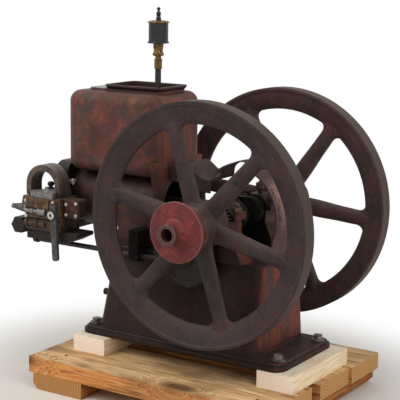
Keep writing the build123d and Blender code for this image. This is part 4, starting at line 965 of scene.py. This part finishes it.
for wheel_name, wheel_turn, wheel_finish in (
    ("near", near_wheel_turn, wheel_iron), ("far", far_wheel_turn, far_wheel_iron),
):
    wheel_low, wheel_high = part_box("flywheel_" + wheel_name)
    wheel_middle = Vector((crank_x, (wheel_low.y + wheel_high.y) / 2, crank_z))
    fillets = bmesh.new()
    for spoke in range(spoke_count):
        for way in (-1, 1):
            add_fillet(fillets, wheel_middle, wheel_turn + 2 * math.pi * spoke / spoke_count, way)
    new_piece(fillets, "spoke_fillets_" + wheel_name, "crank", wheel_finish, 60)

# Spoke hole. A small turned disc with a raised rim, set on the face of one of the near wheel's spokes. Its
# black is painted shade, standing for the inside of a drilled hole.
hole_reach = 141 * mm
hole_spoke_depth = 22 * mm
hole_shade_outline = [(r * mm, d * mm) for r, d in ((0, -0.4), (2.8, -0.4), (3.3, 0.4), (4.2, 0.4), (5, -0.8))]
wheel_low, wheel_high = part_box("flywheel_near")
hole_y = (wheel_low.y + wheel_high.y - hole_spoke_depth) / 2
hole_at = (crank_x + hole_reach * math.cos(near_wheel_turn), hole_y,
           crank_z + hole_reach * math.sin(near_wheel_turn))
hole_shade = bmesh.new()
turned(hole_shade, hole_shade_outline, hole_at, (0, -1, 0), 20)
new_piece(hole_shade, "spoke_hole_shade", "crank", black_grease_and_shade)

# Red hub. A turned iron hub keyed to the shaft, with faded red paint pale on its rim, partly rubbed wear and
# partly a painted highlight, a bare brown nose and a greasy drum behind the disc.
nose_run = 10 * mm
nose_fade = 4 * mm
drum_run = 39 * mm
drum_fade = 1 * mm
hub_near_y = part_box("red_hub")[0].y
# Faded oil paint: a dull strong red, pale on its edges and lighter where it faces up, partly wear and partly
# painted light, and brown where it is bare.
hub_paint = old_casting(
    "faded red hub paint", deep="#521f21", mid="#762d2e", bright="#8c4540", tint="#5a2530", bare_and_edge_highlight="#ab857a",
    grease_and_shade="#403029", blotch=40 * mm, patch=16 * mm, rough=0.5, bright_share=0.3, bare_share=0.3,
    edge_wear_and_highlight_share=0.6, low_share=0.85, low_axis="Y", low_from=hub_near_y + nose_run,
    low_to=hub_near_y + nose_run + nose_fade, high_axis="Y", high_share=0.9,
    high_from=hub_near_y + drum_run, line_soft=drum_fade, dust_and_top_light="#94504d", dust_and_top_light_share=0.2,
)
paint_node("red_hub", hub_paint)

# Studio. A plain pale floor that fades to white, two large soft lamps above, and a camera at the photograph's
# place and angle.
scene = bpy.context.scene
scene.view_settings.view_transform = "Standard"
floor_size = 12.0
floor_patch = 0.25
floor_pale = "#dcd7cf"
floor_plain = "#e6e2db"
white_from = 0.42
white_to = 0.8
floor_shape = bmesh.new()
bmesh.ops.create_grid(floor_shape, x_segments=1, y_segments=1, size=floor_size / 2)
floor_mesh = bpy.data.meshes.new("studio_floor")
floor_shape.to_mesh(floor_mesh)
floor_shape.free()
floor = bpy.data.objects.new("studio_floor", floor_mesh)
scene.collection.objects.link(floor)
floor_finish = new_material("pale studio floor")
floor_grain = node(floor_finish, "ShaderNodeTexCoord")
floor_noise = node(floor_finish, "ShaderNodeTexNoise", {
    "Vector": floor_grain.outputs["Object"], "Scale": 1 / floor_patch})
floor_tone = node(floor_finish, "ShaderNodeMix", {
    0: floor_noise.outputs[0], 6: linear(floor_pale), 7: linear(floor_plain)}, data_type="RGBA")
floor_surface = node(floor_finish, "ShaderNodeBsdfPrincipled", {
    "Base Color": floor_tone.outputs[2], "Roughness": 0.8})
floor_reach = node(floor_finish, "ShaderNodeVectorMath", {0: floor_grain.outputs["Object"]},
                   operation="LENGTH")
floor_away = node(floor_finish, "ShaderNodeMapRange", {
    "Value": floor_reach.outputs["Value"], "From Min": white_from, "From Max": white_to,
}, interpolation_type="SMOOTHSTEP")
floor_rays = node(floor_finish, "ShaderNodeLightPath")
floor_seen = node(floor_finish, "ShaderNodeMath", {
    0: floor_rays.outputs["Is Camera Ray"], 1: floor_rays.outputs["Is Glossy Ray"]}, operation="MAXIMUM")
floor_shown = node(floor_finish, "ShaderNodeMath", {
    0: floor_seen.outputs[0], 1: floor_rays.outputs["Is Transmission Ray"]}, operation="MAXIMUM")
floor_fade = node(floor_finish, "ShaderNodeMath", {0: floor_away.outputs[0], 1: floor_shown.outputs[0]},
                  operation="MULTIPLY")
floor_white = node(floor_finish, "ShaderNodeEmission", {"Color": linear("#ffffff"), "Strength": 1.0})
floor_mixed = node(floor_finish, "ShaderNodeMixShader", {
    0: floor_fade.outputs[0], 1: floor_surface.outputs[0], 2: floor_white.outputs[0]})
node(floor_finish, "ShaderNodeOutputMaterial", {"Surface": floor_mixed.outputs[0]})
floor_mesh.materials.append(floor_finish)

ambient_strength = 0.42
world = bpy.data.worlds.new("white studio")
world.use_nodes = True
world.node_tree.nodes.clear()
rays = node(world, "ShaderNodeLightPath")
seen = node(world, "ShaderNodeMath", {0: rays.outputs["Is Camera Ray"], 1: rays.outputs["Is Glossy Ray"]},
            operation="MAXIMUM")
seen_through = node(world, "ShaderNodeMath", {0: seen.outputs[0], 1: rays.outputs["Is Transmission Ray"]},
                    operation="MAXIMUM")
ambient = node(world, "ShaderNodeBackground", {"Color": linear("#ffffff"), "Strength": ambient_strength})
white = node(world, "ShaderNodeBackground", {"Color": linear("#ffffff"), "Strength": 1.0})
mixed = node(world, "ShaderNodeMixShader", {
    0: seen_through.outputs[0], 1: ambient.outputs[0], 2: white.outputs[0]})
node(world, "ShaderNodeOutputWorld", {"Surface": mixed.outputs[0]})
scene.world = world

lamp_aim = Vector((0, 0, 0.4))
for lamp_name, lamp_at, lamp_size, lamp_watts in (
    ("key_lamp", (-1.6, -2.6, 3.2), 2.6, 95), ("fill_lamp", (3.0, -1.2, 2.4), 2.6, 55),
):
    lamp = bpy.data.lights.new(lamp_name, "AREA")
    lamp.size = lamp_size
    lamp.energy = lamp_watts
    lamp_object = bpy.data.objects.new(lamp_name, lamp)
    lamp_object.location = lamp_at
    lamp_object.rotation_euler = (lamp_aim - Vector(lamp_at)).to_track_quat("-Z", "Y").to_euler()
    scene.collection.objects.link(lamp_object)

azimuth = math.radians(33.45)
elevation = math.radians(10.78)
roll = math.radians(0.7)
camera_at = Vector((1.52315, -2.31311, 0.96676))
right = Vector((math.cos(azimuth), math.sin(azimuth), 0))
back = Vector((math.sin(azimuth) * math.cos(elevation), -math.cos(azimuth) * math.cos(elevation),
               math.sin(elevation)))
up = back.cross(right)
image_right = right * math.cos(roll) + up * math.sin(roll)
image_up = up * math.cos(roll) - right * math.sin(roll)
camera = bpy.data.cameras.new("photo_camera")
camera.lens = 111.17
camera.sensor_width = 36
camera.shift_x = 0.05
camera_object = bpy.data.objects.new("photo_camera", camera)
camera_turn = Matrix((image_right, image_up, back)).transposed().to_4x4()
camera_object.matrix_world = Matrix.Translation(camera_at) @ camera_turn
scene.collection.objects.link(camera_object)
scene.camera = camera_object
